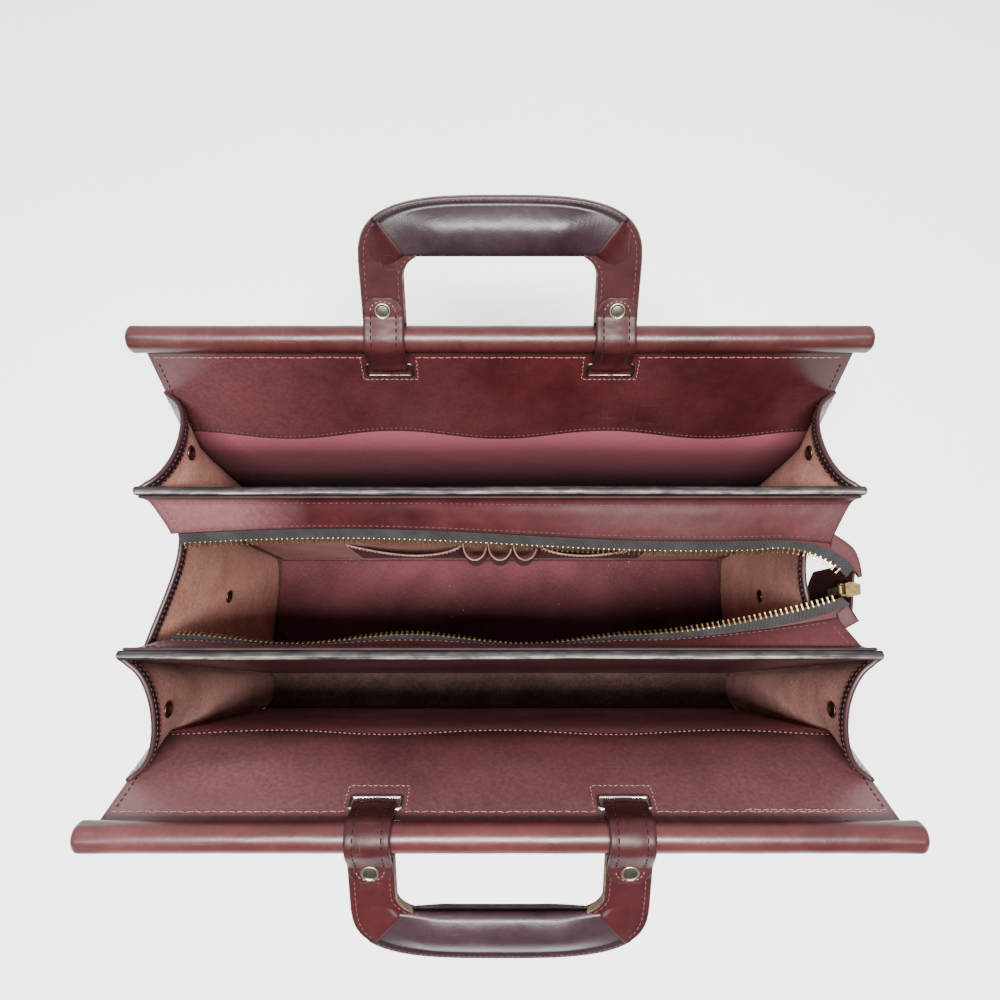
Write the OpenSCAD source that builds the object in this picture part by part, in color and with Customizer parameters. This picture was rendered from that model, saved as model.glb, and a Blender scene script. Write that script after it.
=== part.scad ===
// Triple-compartment leather briefcase with two rod-topped walls that fall open.
// Millimetres, +Z up. X runs along the rods, +Y is the back, origin under the middle of the base.

/* [Base] */
// Depth of the base between the two wall seams
base_depth = 172; // [150:1:200]
// Width of the leather panels, side to side
panel_w = 416; // [380:1:440]
// Thickness of the outer leather
leather_t = 2; // [1.6:0.1:2.4]
// Thickness of the base stiffener board
base_board_t = 2; // [1.5:0.1:3]
// Thickness of the suede lining on the base
suede_t = 1; // [0.8:0.1:1.5]
// Thickness of the loose board in the middle compartment
loose_board_t = 3; // [2:0.5:4]

/* [Walls] */
// Thickness of the leather band inside each wall
band_t = 1.6; // [1.2:0.1:2]
// Length of a wall from its bottom seam to its rod
wall_len = 290; // [270:1:310]
// Thickness of the stiffener board in the walls
board_t = 1.4; // [1:0.1:2]
// Thickness of the fabric lining
lining_t = 0.8; // [0.6:0.1:1]
// Length of wall below the outward bend
bend_start = 190; // [175:1:200]
// Radius of the outward bend
bend_r = 60; // [50:1:80]
// Lean of the back wall's lower part, in degrees
back_lean = 4; // [0:0.5:6]
// Further outward bend at the top of the back wall, in degrees
back_bend = 22; // [16:1:26]
// Lean of the front wall's lower part, in degrees
front_lean = 0.5; // [0:0.5:4]
// Further outward bend at the top of the front wall, in degrees
front_bend = 30; // [20:1:34]
// Height of the leather band inside the back wall, below the rod
back_band_h = 78; // [66:1:90]
// Height of the leather band inside the front wall, below the rod
front_band_h = 88; // [66:1:94]
// Rise and fall of the band's scalloped lower edge
band_wave = 3.5; // [1:0.5:5]
// Number of scallops along the band
band_waves = 3; // [2:1:5]

/* [Rods] */
// Diameter of the rod core
rod_core_d = 12; // [10:0.5:14]
// How far a rod's end caps stand past its leather sleeve
cap_len = 5; // [4:0.5:10]

/* [Dividers] */
// Height of the dividers above the base
divider_h = 276; // [262:1:278]
// Thickness of the divider's stiffener board
divider_board_t = 1.2; // [1:0.1:2]
// Distance of the back divider behind the middle
back_divider_y = 51; // [46:1:56]
// Distance of the front divider's foot in front of the middle
front_divider_y = 52; // [48:1:56]
// Lean of the front divider towards the back, in degrees
front_divider_lean = 2.4; // [0:0.2:4]

/* [Gussets] */
// Thickness of the gusset leather
gusset_t = 1.6; // [1.2:0.1:2]
// How far the outer gussets fold inward at the top
outer_fold = 17; // [12:1:30]
// How far the left middle gusset folds inward at the top
left_fold = 24; // [14:1:30]
// How far the right middle gusset folds inward at the top
right_fold = 27; // [20:1:34]
// How far every gusset stands in from the panel edge at the base
foot_fold = 5; // [4:0.5:8]
// Diameter of a snap's cap
snap_d = 12; // [9:0.5:14]
// Depth of the outer gussets' snaps below the gusset's top
snap_drop = 18; // [14:1:40]
// Depth of the middle gussets' snaps below the gusset's top
middle_snap_drop = 106; // [60:1:130]

/* [Zip] */
// How far the zip bands stop short of the panels' sides
zip_inset = 16; // [15:0.5:17]
// Distance between teeth of one row
tooth_pitch = 3; // [2.8:0.1:3.6]
// Thickness of a zip band
zip_band_t = 1.6; // [1.2:0.1:2]
// Thickness of the zip tape
tape_t = 0.8; // [0.6:0.1:1]

/* [Handles] */
// Distance between the two straps of a handle
strap_gap = 132; // [120:1:140]
// Width of a strap
strap_w = 23; // [20:0.5:26]
// Thickness of a strap
strap_t = 2.6; // [2:0.1:3]
// Height of a handle from the rod's axis
handle_h = 78; // [72:1:90]
// Width of the legs and of the flat part of the handle
leg_w = 25; // [23:0.5:26]
// Thickness of the handle's flat body
handle_t = 5; // [4:0.5:6]
// Thickness of the padded grip
grip_t = 17; // [14:0.5:20]
// Height of the padded grip
grip_h = 27; // [24:0.5:30]
// Diameter of the rivets
rivet_d = 9.6; // [8:0.2:11]
// Distance of a rivet from the rod's axis
rivet_out = 17.5; // [17.5:0.5:19]
// How far the back handle stands above level, in degrees
back_handle_up = 40; // [30:1:60]
// How far the front handle hangs below level, in degrees
front_handle_down = 30; // [10:1:35]
// Distance of a strap slot below the rod's axis
slot_drop = 21; // [19:0.5:26]

/* [Organizer] */
// Height of the pocket mouths above the base
pocket_z = 105; // [90:1:180]
// Width of one slip pocket
pocket_w = 92; // [80:1:100]
// Width of the pen loops together
loops_w = 60; // [50:1:70]
// Height of the pen loop strip
loops_h = 34; // [24:1:44]

/* [Hidden] */
// Running clearance between pieces that move apart
gap = 0.3;
$fn = 48;

burgundy = [0.42, 0.13, 0.14];
plum = [0.27, 0.13, 0.17];
maroon_cloth = [0.45, 0.2, 0.25];
suede = [0.55, 0.36, 0.32];
card = [0.5, 0.45, 0.4];
tape_grey = [0.25, 0.27, 0.27];
brass = [0.72, 0.58, 0.3];
steel = [0.6, 0.58, 0.53];

half_w = panel_w / 2;
base_top = leather_t + base_board_t + suede_t;
bead_r = (board_t + 2 * leather_t + lining_t) / 2;
pivot_z = base_top + bead_r + gap;
base_half = base_depth / 2 + bead_r;
rod_r = rod_core_d / 2 + leather_t;
sleeve_end = half_w + leather_t;
// Layers of a wall, measured outward from the middle of its board
n_board = board_t / 2;
n_out = n_board + leather_t;
n_lining = n_board + lining_t;
n_band = n_lining + band_t;

// A wall is [side, foot y, foot z, lean, bend]; side is 1 at the back and -1 at the front.
back_wall = [1, base_depth / 2, pivot_z, back_lean, back_bend];
front_wall = [-1, -base_depth / 2, pivot_z, front_lean, front_bend];

function bend_len(w) = bend_r * w[4] * PI / 180;
function wall_turn(w, s) = s <= bend_start ? w[3]
    : w[3] + min(w[4], (s - bend_start) / bend_r * 180 / PI);
function arc_y(w, a) = bend_start * sin(w[3]) + bend_r * (cos(w[3]) - cos(a));
function arc_z(w, a) = bend_start * cos(w[3]) + bend_r * (sin(a) - sin(w[3]));
// Point [y, z] at the length s up a wall and n outward from the middle of its board
function wall_point(w, s, n = 0) =
    let (a = wall_turn(w, s), past = max(0, s - bend_start - bend_len(w)),
         y = s <= bend_start ? s * sin(a) : arc_y(w, a) + past * sin(a),
         z = s <= bend_start ? s * cos(a) : arc_z(w, a) + past * cos(a))
    [w[1] + w[0] * (y + n * cos(a)), w[2] + z - n * sin(a)];
bend_steps = 6;
function wall_stops(w, s0, s1) = concat([s0],
    [for (k = [0 : bend_steps]) let (s = bend_start + k * bend_len(w) / bend_steps)
        if (s > s0 + 1 && s < s1 - 1) s], [s1]);
function reversed(list) = [for (k = [len(list) - 1 : -1 : 0]) list[k]];
function wall_strip(w, s0, s1, n0, n1) =
    let (stops = wall_stops(w, s0, s1))
    concat([for (s = stops) wall_point(w, s, n0)], [for (s = reversed(stops)) wall_point(w, s, n1)]);

// Extrudes a [y, z] outline along X
module along_x(width, at = 0) {
    translate([at, 0, 0]) rotate([90, 0, 90]) linear_extrude(height = width, center = true) children();
}
module wall_layer(w, s0, s1, n0, n1, width = panel_w) {
    along_x(width) polygon(wall_strip(w, s0, s1, n0, n1));
}
function rod_axis(w) = wall_point(w, wall_len);
// Places children with local X along the rod, local Y up the wall and local Z outward
module on_wall(w, x, s, n = 0) {
    p = wall_point(w, s, n);
    a = wall_turn(w, s);
    translate([x, p[0], p[1]]) rotate([w[0] > 0 ? -a : a, 0, 0])
        rotate([90, 0, 0]) mirror([0, 0, w[0] > 0 ? 1 : 0]) children();
}

slot_w = strap_w + 2;
slot_h = 6.6;
module strap_slots(w) {
    for (side = [-1, 1]) on_wall(w, side * strap_gap / 2, wall_len - slot_drop)
        cube([slot_w, slot_h, 20], center = true);
}
layer_foot = bead_r + 1;
layer_top = wall_len - rod_r - 0.5;

// Walls
module wall_leather(w) {
    r = rod_axis(w);
    color(burgundy) difference() {
        union() {
            wall_layer(w, 0, wall_len, n_board, n_out);
            along_x(panel_w) translate([w[1], w[2]]) circle(r = bead_r);
            along_x(2 * sleeve_end) translate(r) circle(r = rod_r);
        }
        along_x(panel_w + 20) translate(r) circle(r = rod_core_d / 2);
        strap_slots(w);
    }
}
module wall_board(w) {
    color(card) difference() {
        wall_layer(w, layer_foot, layer_top, -n_board, n_board, panel_w - 8);
        strap_slots(w);
    }
}
module wall_lining(w) {
    color(maroon_cloth) difference() {
        wall_layer(w, layer_foot, layer_top, -n_board, -n_lining, panel_w - 2);
        strap_slots(w);
    }
}
// Leather band with a scalloped lower edge, cut from a strip of the wall's own curve
wave_steps = 36;
module wall_band(w, band_h) {
    edge_z = wall_point(w, wall_len - band_h)[1];
    edge_w = panel_w - 2;
    color(burgundy) difference() {
        wall_layer(w, wall_len - band_h - 2 * band_wave, layer_top, -n_lining, -n_band, edge_w);
        translate([0, w[1] + w[0] * 100, 0]) rotate([90, 0, 0]) linear_extrude(height = 200, center = true)
            polygon(concat(
                [for (k = [0 : wave_steps]) let (x = (k / wave_steps - 0.5) * (edge_w + 2))
                    [x, edge_z - band_wave * cos(360 * band_waves * x / panel_w)]],
                [[edge_w, edge_z - 40], [-edge_w, edge_z - 40]]));
        strap_slots(w);
    }
}
module rod_core(w) {
    color(steel) along_x(2 * sleeve_end) translate(rod_axis(w)) circle(r = rod_core_d / 2);
}
// Leather caps with a rounded rim that close the rod sleeve at both ends
module rod_caps(w) {
    r = rod_axis(w);
    rim = 3;
    for (side = [0, 1]) color(burgundy) mirror([side, 0, 0]) translate([sleeve_end, r[0], r[1]])
        rotate([0, 90, 0]) rotate_extrude() intersection() {
            square([rod_r, cap_len]);
            union() {
                square([rod_r - rim, cap_len]);
                square([rod_r, cap_len - rim]);
                translate([rod_r - rim, cap_len - rim]) circle(r = rim);
            }
        }
}
plate_t = 1;
plate_rim = 2.2;
module slot_plates(w) {
    for (side = [-1, 1]) color(steel)
        on_wall(w, side * strap_gap / 2, wall_len - slot_drop, -n_band - plate_t / 2)
            difference() {
                cube([slot_w + 2 * plate_rim, slot_h + 2 * plate_rim, plate_t], center = true);
                cube([slot_w, slot_h, 2 * plate_t], center = true);
            }
}

// Handles: local X along the rod, local Y out along the handle, local Z the side that faces up
function handle_dir(w) = w[0] > 0 ? [cos(back_handle_up), sin(back_handle_up)]
    : [-cos(front_handle_down), -sin(front_handle_down)];
module at_handle(w) {
    r = rod_axis(w);
    translate([0, r[0], r[1]])
        if (w[0] > 0) rotate([back_handle_up, 0, 0]) children();
        else mirror([0, 1, 0]) rotate([-front_handle_down, 0, 0]) children();
}
handle_half = strap_gap / 2 + leg_w / 2;
leg_foot = rod_r + 1.6;
opening_half = handle_half - leg_w;
flange = 4.5;
opening_top = handle_h - grip_h - flange;
shoulder_t = handle_h * 0.5;
arch_power = 0.62;
arch_steps = 28;
// Arched outline of the handle's top from one shoulder to the other, drawn in by inset
function arch(inset) = [for (k = [0 : arch_steps]) let (a = 180 * k / arch_steps)
    [(handle_half - inset) * sign(cos(a)) * pow(abs(cos(a)), arch_power),
     shoulder_t + (handle_h - inset - shoulder_t) * pow(sin(a), arch_power)]];
opening_r = 11;
module handle_outline() {
    difference() {
        polygon(concat(arch(0), [[-handle_half, leg_foot], [handle_half, leg_foot]]));
        union() {
            translate([-opening_half, 0]) square([2 * opening_half, opening_top - opening_r]);
            translate([opening_r - opening_half, 0])
                square([2 * (opening_half - opening_r), opening_top]);
            for (side = [-1, 1])
                translate([side * (opening_half - opening_r), opening_top - opening_r])
                    circle(r = opening_r);
        }
    }
}
post_r = 2;
module rivet_holes(r) {
    for (side = [-1, 1]) translate([side * strap_gap / 2, rivet_out, -20]) cylinder(r = r, h = 40);
}
module handle_body(w) {
    color(burgundy) at_handle(w) difference() {
        translate([0, 0, -handle_t / 2]) linear_extrude(height = handle_t) handle_outline();
        rivet_holes(post_r);
    }
}
grip_mid = opening_top + grip_h / 2;
grip_steps = 24;
module grip_lens(drawn_in) {
    along_x(2 * handle_half) translate([grip_mid, 0])
        polygon([for (k = [0 : grip_steps - 1]) let (a = 360 * k / grip_steps)
            [(grip_h / 2 - drawn_in) * cos(a), (grip_t / 2 - drawn_in) * sin(a)]]);
}
// Plan of the padded part, with its ends mitred into the handle's inner corners
mitre_top = handle_half - 11;
module grip_plan(drawn_in) {
    intersection() {
        polygon(arch(flange + drawn_in));
        polygon([[-opening_half + drawn_in, opening_top - 1], [opening_half - drawn_in, opening_top - 1],
            [mitre_top - drawn_in, handle_h - 14], [mitre_top - drawn_in, handle_h],
            [-mitre_top + drawn_in, handle_h], [-mitre_top + drawn_in, handle_h - 14]]);
    }
}
module grip_form(drawn_in) {
    intersection() {
        grip_lens(drawn_in);
        translate([0, 0, -20]) linear_extrude(height = 40) grip_plan(drawn_in);
    }
}
module handle_plate() {
    cube([4 * handle_half, 4 * handle_h, handle_t], center = true);
}
pad_skin = 1.6;
module grip_pad(w) {
    color(plum) at_handle(w) difference() {
        grip_form(0);
        grip_form(pad_skin);
        handle_plate();
    }
}
module grip_core(w) {
    color(card) at_handle(w) difference() {
        grip_form(pad_skin);
        handle_plate();
    }
}
function turned(a, p) = [p[0] * cos(a) - p[1] * sin(a), p[0] * sin(a) + p[1] * cos(a)];
// Filled outline around two circles of different size
round_steps = 48;
module capsule(c1, r1, c2, r2) {
    d = norm(c2 - c1);
    dir = atan2(c2[1] - c1[1], c2[0] - c1[0]);
    lean = acos((r1 - r2) / d);
    polygon(concat(
        [for (k = [0 : round_steps]) let (a = mix(lean, 360 - lean, k / round_steps))
            c1 + r1 * turned(dir, [cos(a), sin(a)])],
        [for (k = [0 : 12]) let (a = mix(-lean, lean, k / 12)) c2 + r2 * turned(dir, [cos(a), sin(a)])]));
}
neck = 13;
leg_neck = 11;
strap_tip = 25;
bridge_half = (n_band + n_out + plate_t) / 2 + gap;
bridge_mid = (n_out - n_band - plate_t) / 2;
bridge_foot = slot_drop - slot_h / 2 + gap;
// Outline of the strap loop in the plane across the rod, grown from its inside by extra
module strap_loop(w, extra, leg_end) {
    rod = rod_axis(w);
    dir = handle_dir(w);
    side = [-dir[1], dir[0]];
    leg = rod + leg_neck * dir;
    leg_half = handle_t / 2 + extra;
    wall_half = bridge_half + extra;
    turn = wall_point(w, wall_len - neck, bridge_mid);
    capsule(rod, rod_r + gap + extra, leg, leg_half);
    polygon([leg + leg_half * side, rod + leg_end * dir + leg_half * side,
        rod + leg_end * dir - leg_half * side, leg - leg_half * side]);
    capsule(rod, rod_r + gap + extra, turn, wall_half);
    polygon([for (c = [[neck, 1], [bridge_foot + extra, 1], [bridge_foot + extra, -1], [neck, -1]])
        wall_point(w, wall_len - c[0], bridge_mid + c[1] * wall_half)]);
}
module handle_straps(w) {
    tip_r = 9;
    color(burgundy) for (side = [-1, 1]) difference() {
        intersection() {
            along_x(strap_w, side * strap_gap / 2) strap_loop(w, strap_t, strap_tip);
            at_handle(w) translate([side * strap_gap / 2, 0, -40]) linear_extrude(height = 80) {
                translate([-strap_w / 2, -60]) square([strap_w, 60 + strap_tip - tip_r]);
                translate([tip_r - strap_w / 2, -60]) square([strap_w - 2 * tip_r, 60 + strap_tip]);
                for (end = [-1, 1]) translate([end * (strap_w / 2 - tip_r), strap_tip - tip_r])
                    circle(r = tip_r);
            }
        }
        along_x(strap_w + 2, side * strap_gap / 2) strap_loop(w, 0, strap_tip + 10);
        at_handle(w) rivet_holes(post_r);
    }
}
cap_h = 1.6;
module rivet_cap() {
    rotate_extrude() intersection() {
        translate([0, cap_h - rivet_d]) circle(r = rivet_d);
        square([rivet_d / 2, cap_h]);
    }
}
module handle_rivets(w) {
    stack = handle_t / 2 + strap_t;
    color(steel) for (side = [-1, 1]) at_handle(w) translate([side * strap_gap / 2, rivet_out, 0]) {
        cylinder(r = post_r, h = 2 * stack, center = true);
        translate([0, 0, stack]) rivet_cap();
        mirror([0, 0, 1]) translate([0, 0, stack]) rivet_cap();
    }
}

// Base
module base_leather() {
    color(burgundy) translate([-half_w, -base_half, 0]) cube([panel_w, 2 * base_half, leather_t]);
}
module base_board() {
    color(card) translate([-half_w + 3, 3 - base_half, leather_t])
        cube([panel_w - 6, 2 * base_half - 6, base_board_t]);
}
module base_suede() {
    color(suede) difference() {
        translate([-half_w, -base_half, leather_t]) cube([panel_w, 2 * base_half, base_board_t + suede_t]);
        translate([-half_w + 3, 3 - base_half, leather_t - 1])
            cube([panel_w - 6, 2 * base_half - 6, base_board_t + 1]);
    }
}
board_gap = 1.5;
module loose_bottom_board() {
    back = back_divider_y - divider_t / 2 - board_gap;
    front = -front_divider_y + divider_t / 2 + board_gap;
    color(maroon_cloth) translate([-half_w + foot_fold + board_gap, front, base_top])
        cube([panel_w - 2 * (foot_fold + board_gap), back - front, loose_board_t]);
}

// Dividers: each is leather folded over a board, with cloth on the side of the middle compartment
divider_t = divider_board_t + 2 * leather_t;
divider_top = base_top + divider_h;
module divider_leather() {
    difference() {
        translate([-half_w, -divider_t / 2, 0]) cube([panel_w, divider_t, divider_h]);
        translate([-half_w + 4, -divider_board_t / 2, 4])
            cube([panel_w - 8, divider_board_t, divider_h - 8]);
    }
}
module divider_board() {
    translate([-half_w + 4, -divider_board_t / 2, 4]) cube([panel_w - 8, divider_board_t, divider_h - 8]);
}
lining_drop = 26;
module divider_lining(facing) {
    translate([-half_w + 10, facing > 0 ? divider_t / 2 : -divider_t / 2 - lining_t, 6])
        cube([panel_w - 20, lining_t, divider_h - 6 - lining_drop]);
}
module at_back_divider() {
    translate([0, back_divider_y, base_top]) children();
}
module at_front_divider() {
    translate([0, -front_divider_y, base_top - 0.2]) rotate([-front_divider_lean, 0, 0]) children();
}
// Middle of the front divider's thickness at a height
function front_mid(z) = -front_divider_y + (z - base_top + 0.2) * tan(front_divider_lean);
front_half_t = divider_t / 2 / cos(front_divider_lean);
module back_divider_leather() { color(burgundy) at_back_divider() divider_leather(); }
module back_divider_board() { color(card) at_back_divider() divider_board(); }
module back_divider_lining() { color(maroon_cloth) at_back_divider() divider_lining(-1); }
module front_divider_leather() {
    color(burgundy) difference() {
        at_front_divider() divider_leather();
        translate([-half_w - 1, -front_divider_y - 10, base_top - 5]) cube([panel_w + 2, 20, 5]);
    }
}
module front_divider_board() { color(card) at_front_divider() divider_board(); }
module front_divider_lining() { color(maroon_cloth) at_front_divider() divider_lining(1); }

// Sheets: a grid of points, given a thickness and closed into a solid
function unit(v) = v / norm(v);
function mix(a, b, t) = a + (b - a) * t;
function flat(rows) = [for (row = rows) for (p = row) p];
module sheet(front, back) {
    nr = len(front);
    nc = len(front[0]);
    n = nr * nc;
    quads = [for (i = [0 : nr - 2]) for (j = [0 : nc - 2]) let (a = i * nc + j)
        [a, a + 1, a + nc + 1, a + nc]];
    rim = concat([for (j = [0 : nc - 2]) [j, j + 1]],
        [for (i = [0 : nr - 2]) [i * nc + nc - 1, i * nc + 2 * nc - 1]],
        [for (j = [nc - 2 : -1 : 0]) [(nr - 1) * nc + j + 1, (nr - 1) * nc + j]],
        [for (i = [nr - 2 : -1 : 0]) [(i + 1) * nc, i * nc]]);
    polyhedron(points = concat(flat(front), flat(back)), faces = concat(
        [for (q = quads) [q[0], q[2], q[1]]], [for (q = quads) [q[0], q[3], q[2]]],
        [for (q = quads) [q[0] + n, q[1] + n, q[2] + n]], [for (q = quads) [q[0] + n, q[2] + n, q[3] + n]],
        [for (e = rim) [e[1] + n, e[0] + n, e[0]]], [for (e = rim) [e[1] + n, e[0], e[1]]]));
}
function grid_normal(g, i, j) =
    let (di = g[min(i + 1, len(g) - 1)][j] - g[max(i - 1, 0)][j],
         dj = g[i][min(j + 1, len(g[0]) - 1)] - g[i][max(j - 1, 0)])
    unit(cross(dj, di));
function grown(g, d) = [for (i = [0 : len(g) - 1]) [for (j = [0 : len(g[0]) - 1])
    g[i][j] + d * grid_normal(g, i, j)]];
module thick_sheet(g, t) { sheet(grown(g, t / 2), grown(g, -t / 2)); }

// Gussets: each row runs from an edge at its back to an edge at its front and folds inward.
// An edge is a list of [y, z]; skew moves the fold towards the back edge.
fold_steps = 10;
function fold_at(f, skew, a) = f * sin(a) * (1 - skew + skew * cos(a));
function fold_slope(f, skew, a) =
    f * (cos(a) * (1 - skew + skew * cos(a)) - skew * sin(a) * sin(a));
function gusset_point(b, e, f, skew, a, d) =
    let (along = [-fold_slope(f, skew, a), (e[0] - b[0]) / 2 * sin(a)],
         n = unit([along[1], -along[0]]))
    [half_w - 0.5 - fold_at(f, skew, a) + d * n[0],
     mix(b[0], e[0], (1 - cos(a)) / 2) + d * n[1], mix(b[1], e[1], (1 - cos(a)) / 2)];
function gusset_grid(back_edge, front_edge, fold, skew, d) = let (last = len(back_edge) - 1)
    [for (i = [0 : last]) let (f = foot_fold + (fold - foot_fold) * pow(i / last, 1.2))
        [for (k = [0 : fold_steps])
            gusset_point(back_edge[i], front_edge[i], f, skew, 180 * k / fold_steps, d)]];
module gusset(back_edge, front_edge, fold, skew = 0) {
    sheet(gusset_grid(back_edge, front_edge, fold, skew, gusset_t / 2),
        gusset_grid(back_edge, front_edge, fold, skew, -gusset_t / 2));
}
wall_clear = 0.5;
outer_top = wall_len - 40;
gusset_stops = concat([base_top - pivot_z + 0.2, 5, 14, 60, 110, 150],
    [for (k = [0 : 7]) bend_start - 6 + 6 * k], [for (k = [0 : 1]) outer_top - 12 + 12 * k]);
// Depth of what covers the wall's inside at the length s up it
function face_depth(s, band_h) = let (e = wall_len - band_h) lookup(s, [[5, bead_r],
    [14, n_lining], [e - 14, n_lining], [e - 6, n_band]]);
function wall_edge(w, band_h) = [for (s = gusset_stops)
    wall_point(w, s, -face_depth(s, band_h) - wall_clear - gusset_t / 2)];
function row_z(top) = [for (s = gusset_stops)
    mix(base_top, top, (s - gusset_stops[0]) / (outer_top - gusset_stops[0]))];
back_divider_edge = [for (z = row_z(divider_top - 3))
    [back_divider_y + divider_t / 2 + gusset_t / 2, z]];
front_divider_edge = [for (z = row_z(divider_top - 3)) [front_mid(z) - front_half_t - gusset_t / 2, z]];
middle_top = 250;
middle_stops = [base_top, 50, 100, 144, 180, 220, middle_top];
middle_back_edge = [for (z = middle_stops) [back_divider_y - divider_t / 2 - gusset_t / 2, z]];
middle_front_edge = [for (z = middle_stops) [front_mid(z) + front_half_t + gusset_t / 2, z]];

hole_r = 2.2;
snap_post_r = 2;
// Point and direction on the fold of a gusset, at the depth drop below its top
function fold_spot(back_edge, front_edge, fold, skew, drop) =
    let (g = gusset_grid(back_edge, front_edge, fold, skew, 0), m = fold_steps / 2, last = len(g) - 1,
         j = [for (k = [0 : last - 1]) if (g[k + 1][m][2] >= g[last][m][2] - drop) k][0],
         p = g[j][m], q = g[j + 1][m], t = (g[last][m][2] - drop - p[2]) / (q[2] - p[2]))
    [mix(p, q, t), unit(cross(g[j][m + 1] - g[j][m - 1], q - p))];
module at_spot(spot) {
    d = spot[1];
    translate(spot[0]) rotate([0, acos(d[2]), atan2(d[1], d[0])]) children();
}
module snapped(spot) {
    difference() {
        children();
        at_spot(spot) cylinder(r = hole_r, h = 12, center = true);
    }
}
// Snap: a domed cap outside the gusset, a post through it and a ring inside
module snap(spot) {
    half = gusset_t / 2;
    at_spot(spot) rotate_extrude() polygon([[0, half], [0, -half - 2.8], [3, -half - 2.6],
        [snap_d / 2, -half - 1.6], [snap_d / 2, -half - 1.2], [snap_post_r, -half - 0.3], [snap_post_r, half],
        [4.6, half + 0.1], [4.6, half + 0.9], [3.8, half + 1.5], [2.4, half + 1.5], [2.4, half + 0.7],
        [0, half + 0.7]]);
}
back_edges = [wall_edge(back_wall, back_band_h), back_divider_edge];
front_edges = [front_divider_edge, wall_edge(front_wall, front_band_h)];
back_spot = fold_spot(back_edges[0], back_edges[1], outer_fold, 0, snap_drop);
front_spot = fold_spot(front_edges[0], front_edges[1], outer_fold, 0, snap_drop);
left_skew = 0.45;
right_spot = fold_spot(middle_back_edge, middle_front_edge, right_fold, 0, middle_snap_drop);
left_spot = fold_spot(middle_back_edge, middle_front_edge, left_fold, left_skew, middle_snap_drop);
module right_of(side) { mirror([side > 0 ? 0 : 1, 0, 0]) children(); }
module back_gusset(side) {
    color(suede) right_of(side) snapped(back_spot) gusset(back_edges[0], back_edges[1], outer_fold);
}
module front_gusset(side) {
    color(suede) right_of(side) snapped(front_spot) gusset(front_edges[0], front_edges[1], outer_fold);
}
module middle_gusset(side) {
    color(suede) right_of(side) if (side > 0)
        snapped(right_spot) gusset(middle_back_edge, middle_front_edge, right_fold);
    else snapped(left_spot) gusset(middle_back_edge, middle_front_edge, left_fold, left_skew);
}
module snap_pair(right, left) {
    color(brass) {
        snap(right);
        mirror([1, 0, 0]) snap(left);
    }
}

// Zip: hems of the two bands and lines of the two rows of teeth, from left to right.
// Both are wavy; past their straight part the rows swing across to the slider.
band_end = half_w - zip_inset;
back_swing = band_end - 42;
front_swing = band_end - 108;
front_wave_len = 134;
function bezier(p, t) = pow(1 - t, 3) * p[0] + 3 * t * pow(1 - t, 2) * p[1]
    + 3 * t * t * (1 - t) * p[2] + t * t * t * p[3];
function back_hem_at(x) = let (past = max(0, (x - back_swing) / (band_end - back_swing)))
    [x, back_divider_y - divider_t / 2 - 19.9 + 3.8 * cos(360 * (x + 95) / 420) - 4 * past * past,
     divider_top - 18 + past];
function front_wave(x) = cos(360 * (x + 52) / front_wave_len);
function front_hem_at(x) =
    let (rise = pow(max(0, x - front_swing) / (band_end - front_swing), 1.5))
    [x, front_mid(divider_top) + front_half_t + 4 + 1.6 * front_wave(min(x, front_swing)) + 12.7 * rise,
     divider_top - 20.2 + 3.2 * rise];
// Points of the zip's open end, measured from the bands' end and the dividers' top
function tail(p) = [band_end + p[0], p[1], divider_top + p[2]];
hem_steps = 24;
hem_x = [for (k = [0 : hem_steps]) mix(-band_end, band_end, k / hem_steps)];
row_start = 4 - band_end;
wave_stations = 18;
swing_steps = 8;
function row_x(swing) = [for (k = [0 : wave_stations - 1]) mix(row_start, swing, k / wave_stations)];
swing_t = [for (k = [0 : swing_steps]) k / swing_steps];
back_hem = [for (x = hem_x) back_hem_at(x)];
front_hem = [for (x = hem_x) front_hem_at(x)];
function under_back_hem(x) = back_hem_at(x) - [0, 5.6, 5];
function under_front_hem(x) = front_hem_at(x) + [0, 2.6 + 1.3 * front_wave(x), -5];
back_teeth_line = concat([for (x = row_x(back_swing)) under_back_hem(x)],
    [for (t = swing_t) bezier([under_back_hem(back_swing), tail([-17, 24.5, -21.5]), tail([0, 14, -17]),
        tail([6, 3.2, -14.8])], t)]);
front_teeth_line = concat([for (x = row_x(front_swing)) under_front_hem(x)],
    [for (t = swing_t) bezier([under_front_hem(front_swing), tail([-72, -26.5, -23.5]),
        tail([-27, -17, -17]), tail([2.6, -8, -14.7])], t)]);
back_tape_line = concat([for (x = row_x(back_swing)) back_hem_at(x)],
    [for (t = swing_t) bezier([back_hem_at(back_swing), tail([-24, 27.5, -17.7]), tail([6, 23, -16]),
        tail([11.2, 8.4, -14])], t)]);
front_tape_line = concat([for (x = row_x(front_swing)) front_hem_at(x)],
    [for (t = swing_t) bezier([front_hem_at(front_swing), tail([-70, -30.6, -19.8]), tail([-20, -25, -18]),
        tail([7, -12.6, -14.7])], t)]);
// Inner edges of the two tail tabs, where the tape ends past the bands
back_tab_inner = [for (p = [[0.6, 21.5, -16.6], [4.6, 17.2, -15.8], [8.6, 13, -14.8], [11.2, 8.4, -14],
    [13.4, 3.4, -13.6]]) tail(p)];
back_tab_outer = [for (p = [[0.6, 30.1, -17], [7.5, 24.9, -16], [12.6, 20, -15], [14.6, 12.5, -14.2],
    [14.8, 3.6, -13.6]]) tail(p)];
front_tab_inner = [for (p = [[0.4, -18.5, -16.4], [7, -12.6, -14.7]]) tail(p)];
front_tab_outer = [for (p = [[1.4, -27, -17.4], [11.4, -21.5, -15.4]]) tail(p)];

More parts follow.
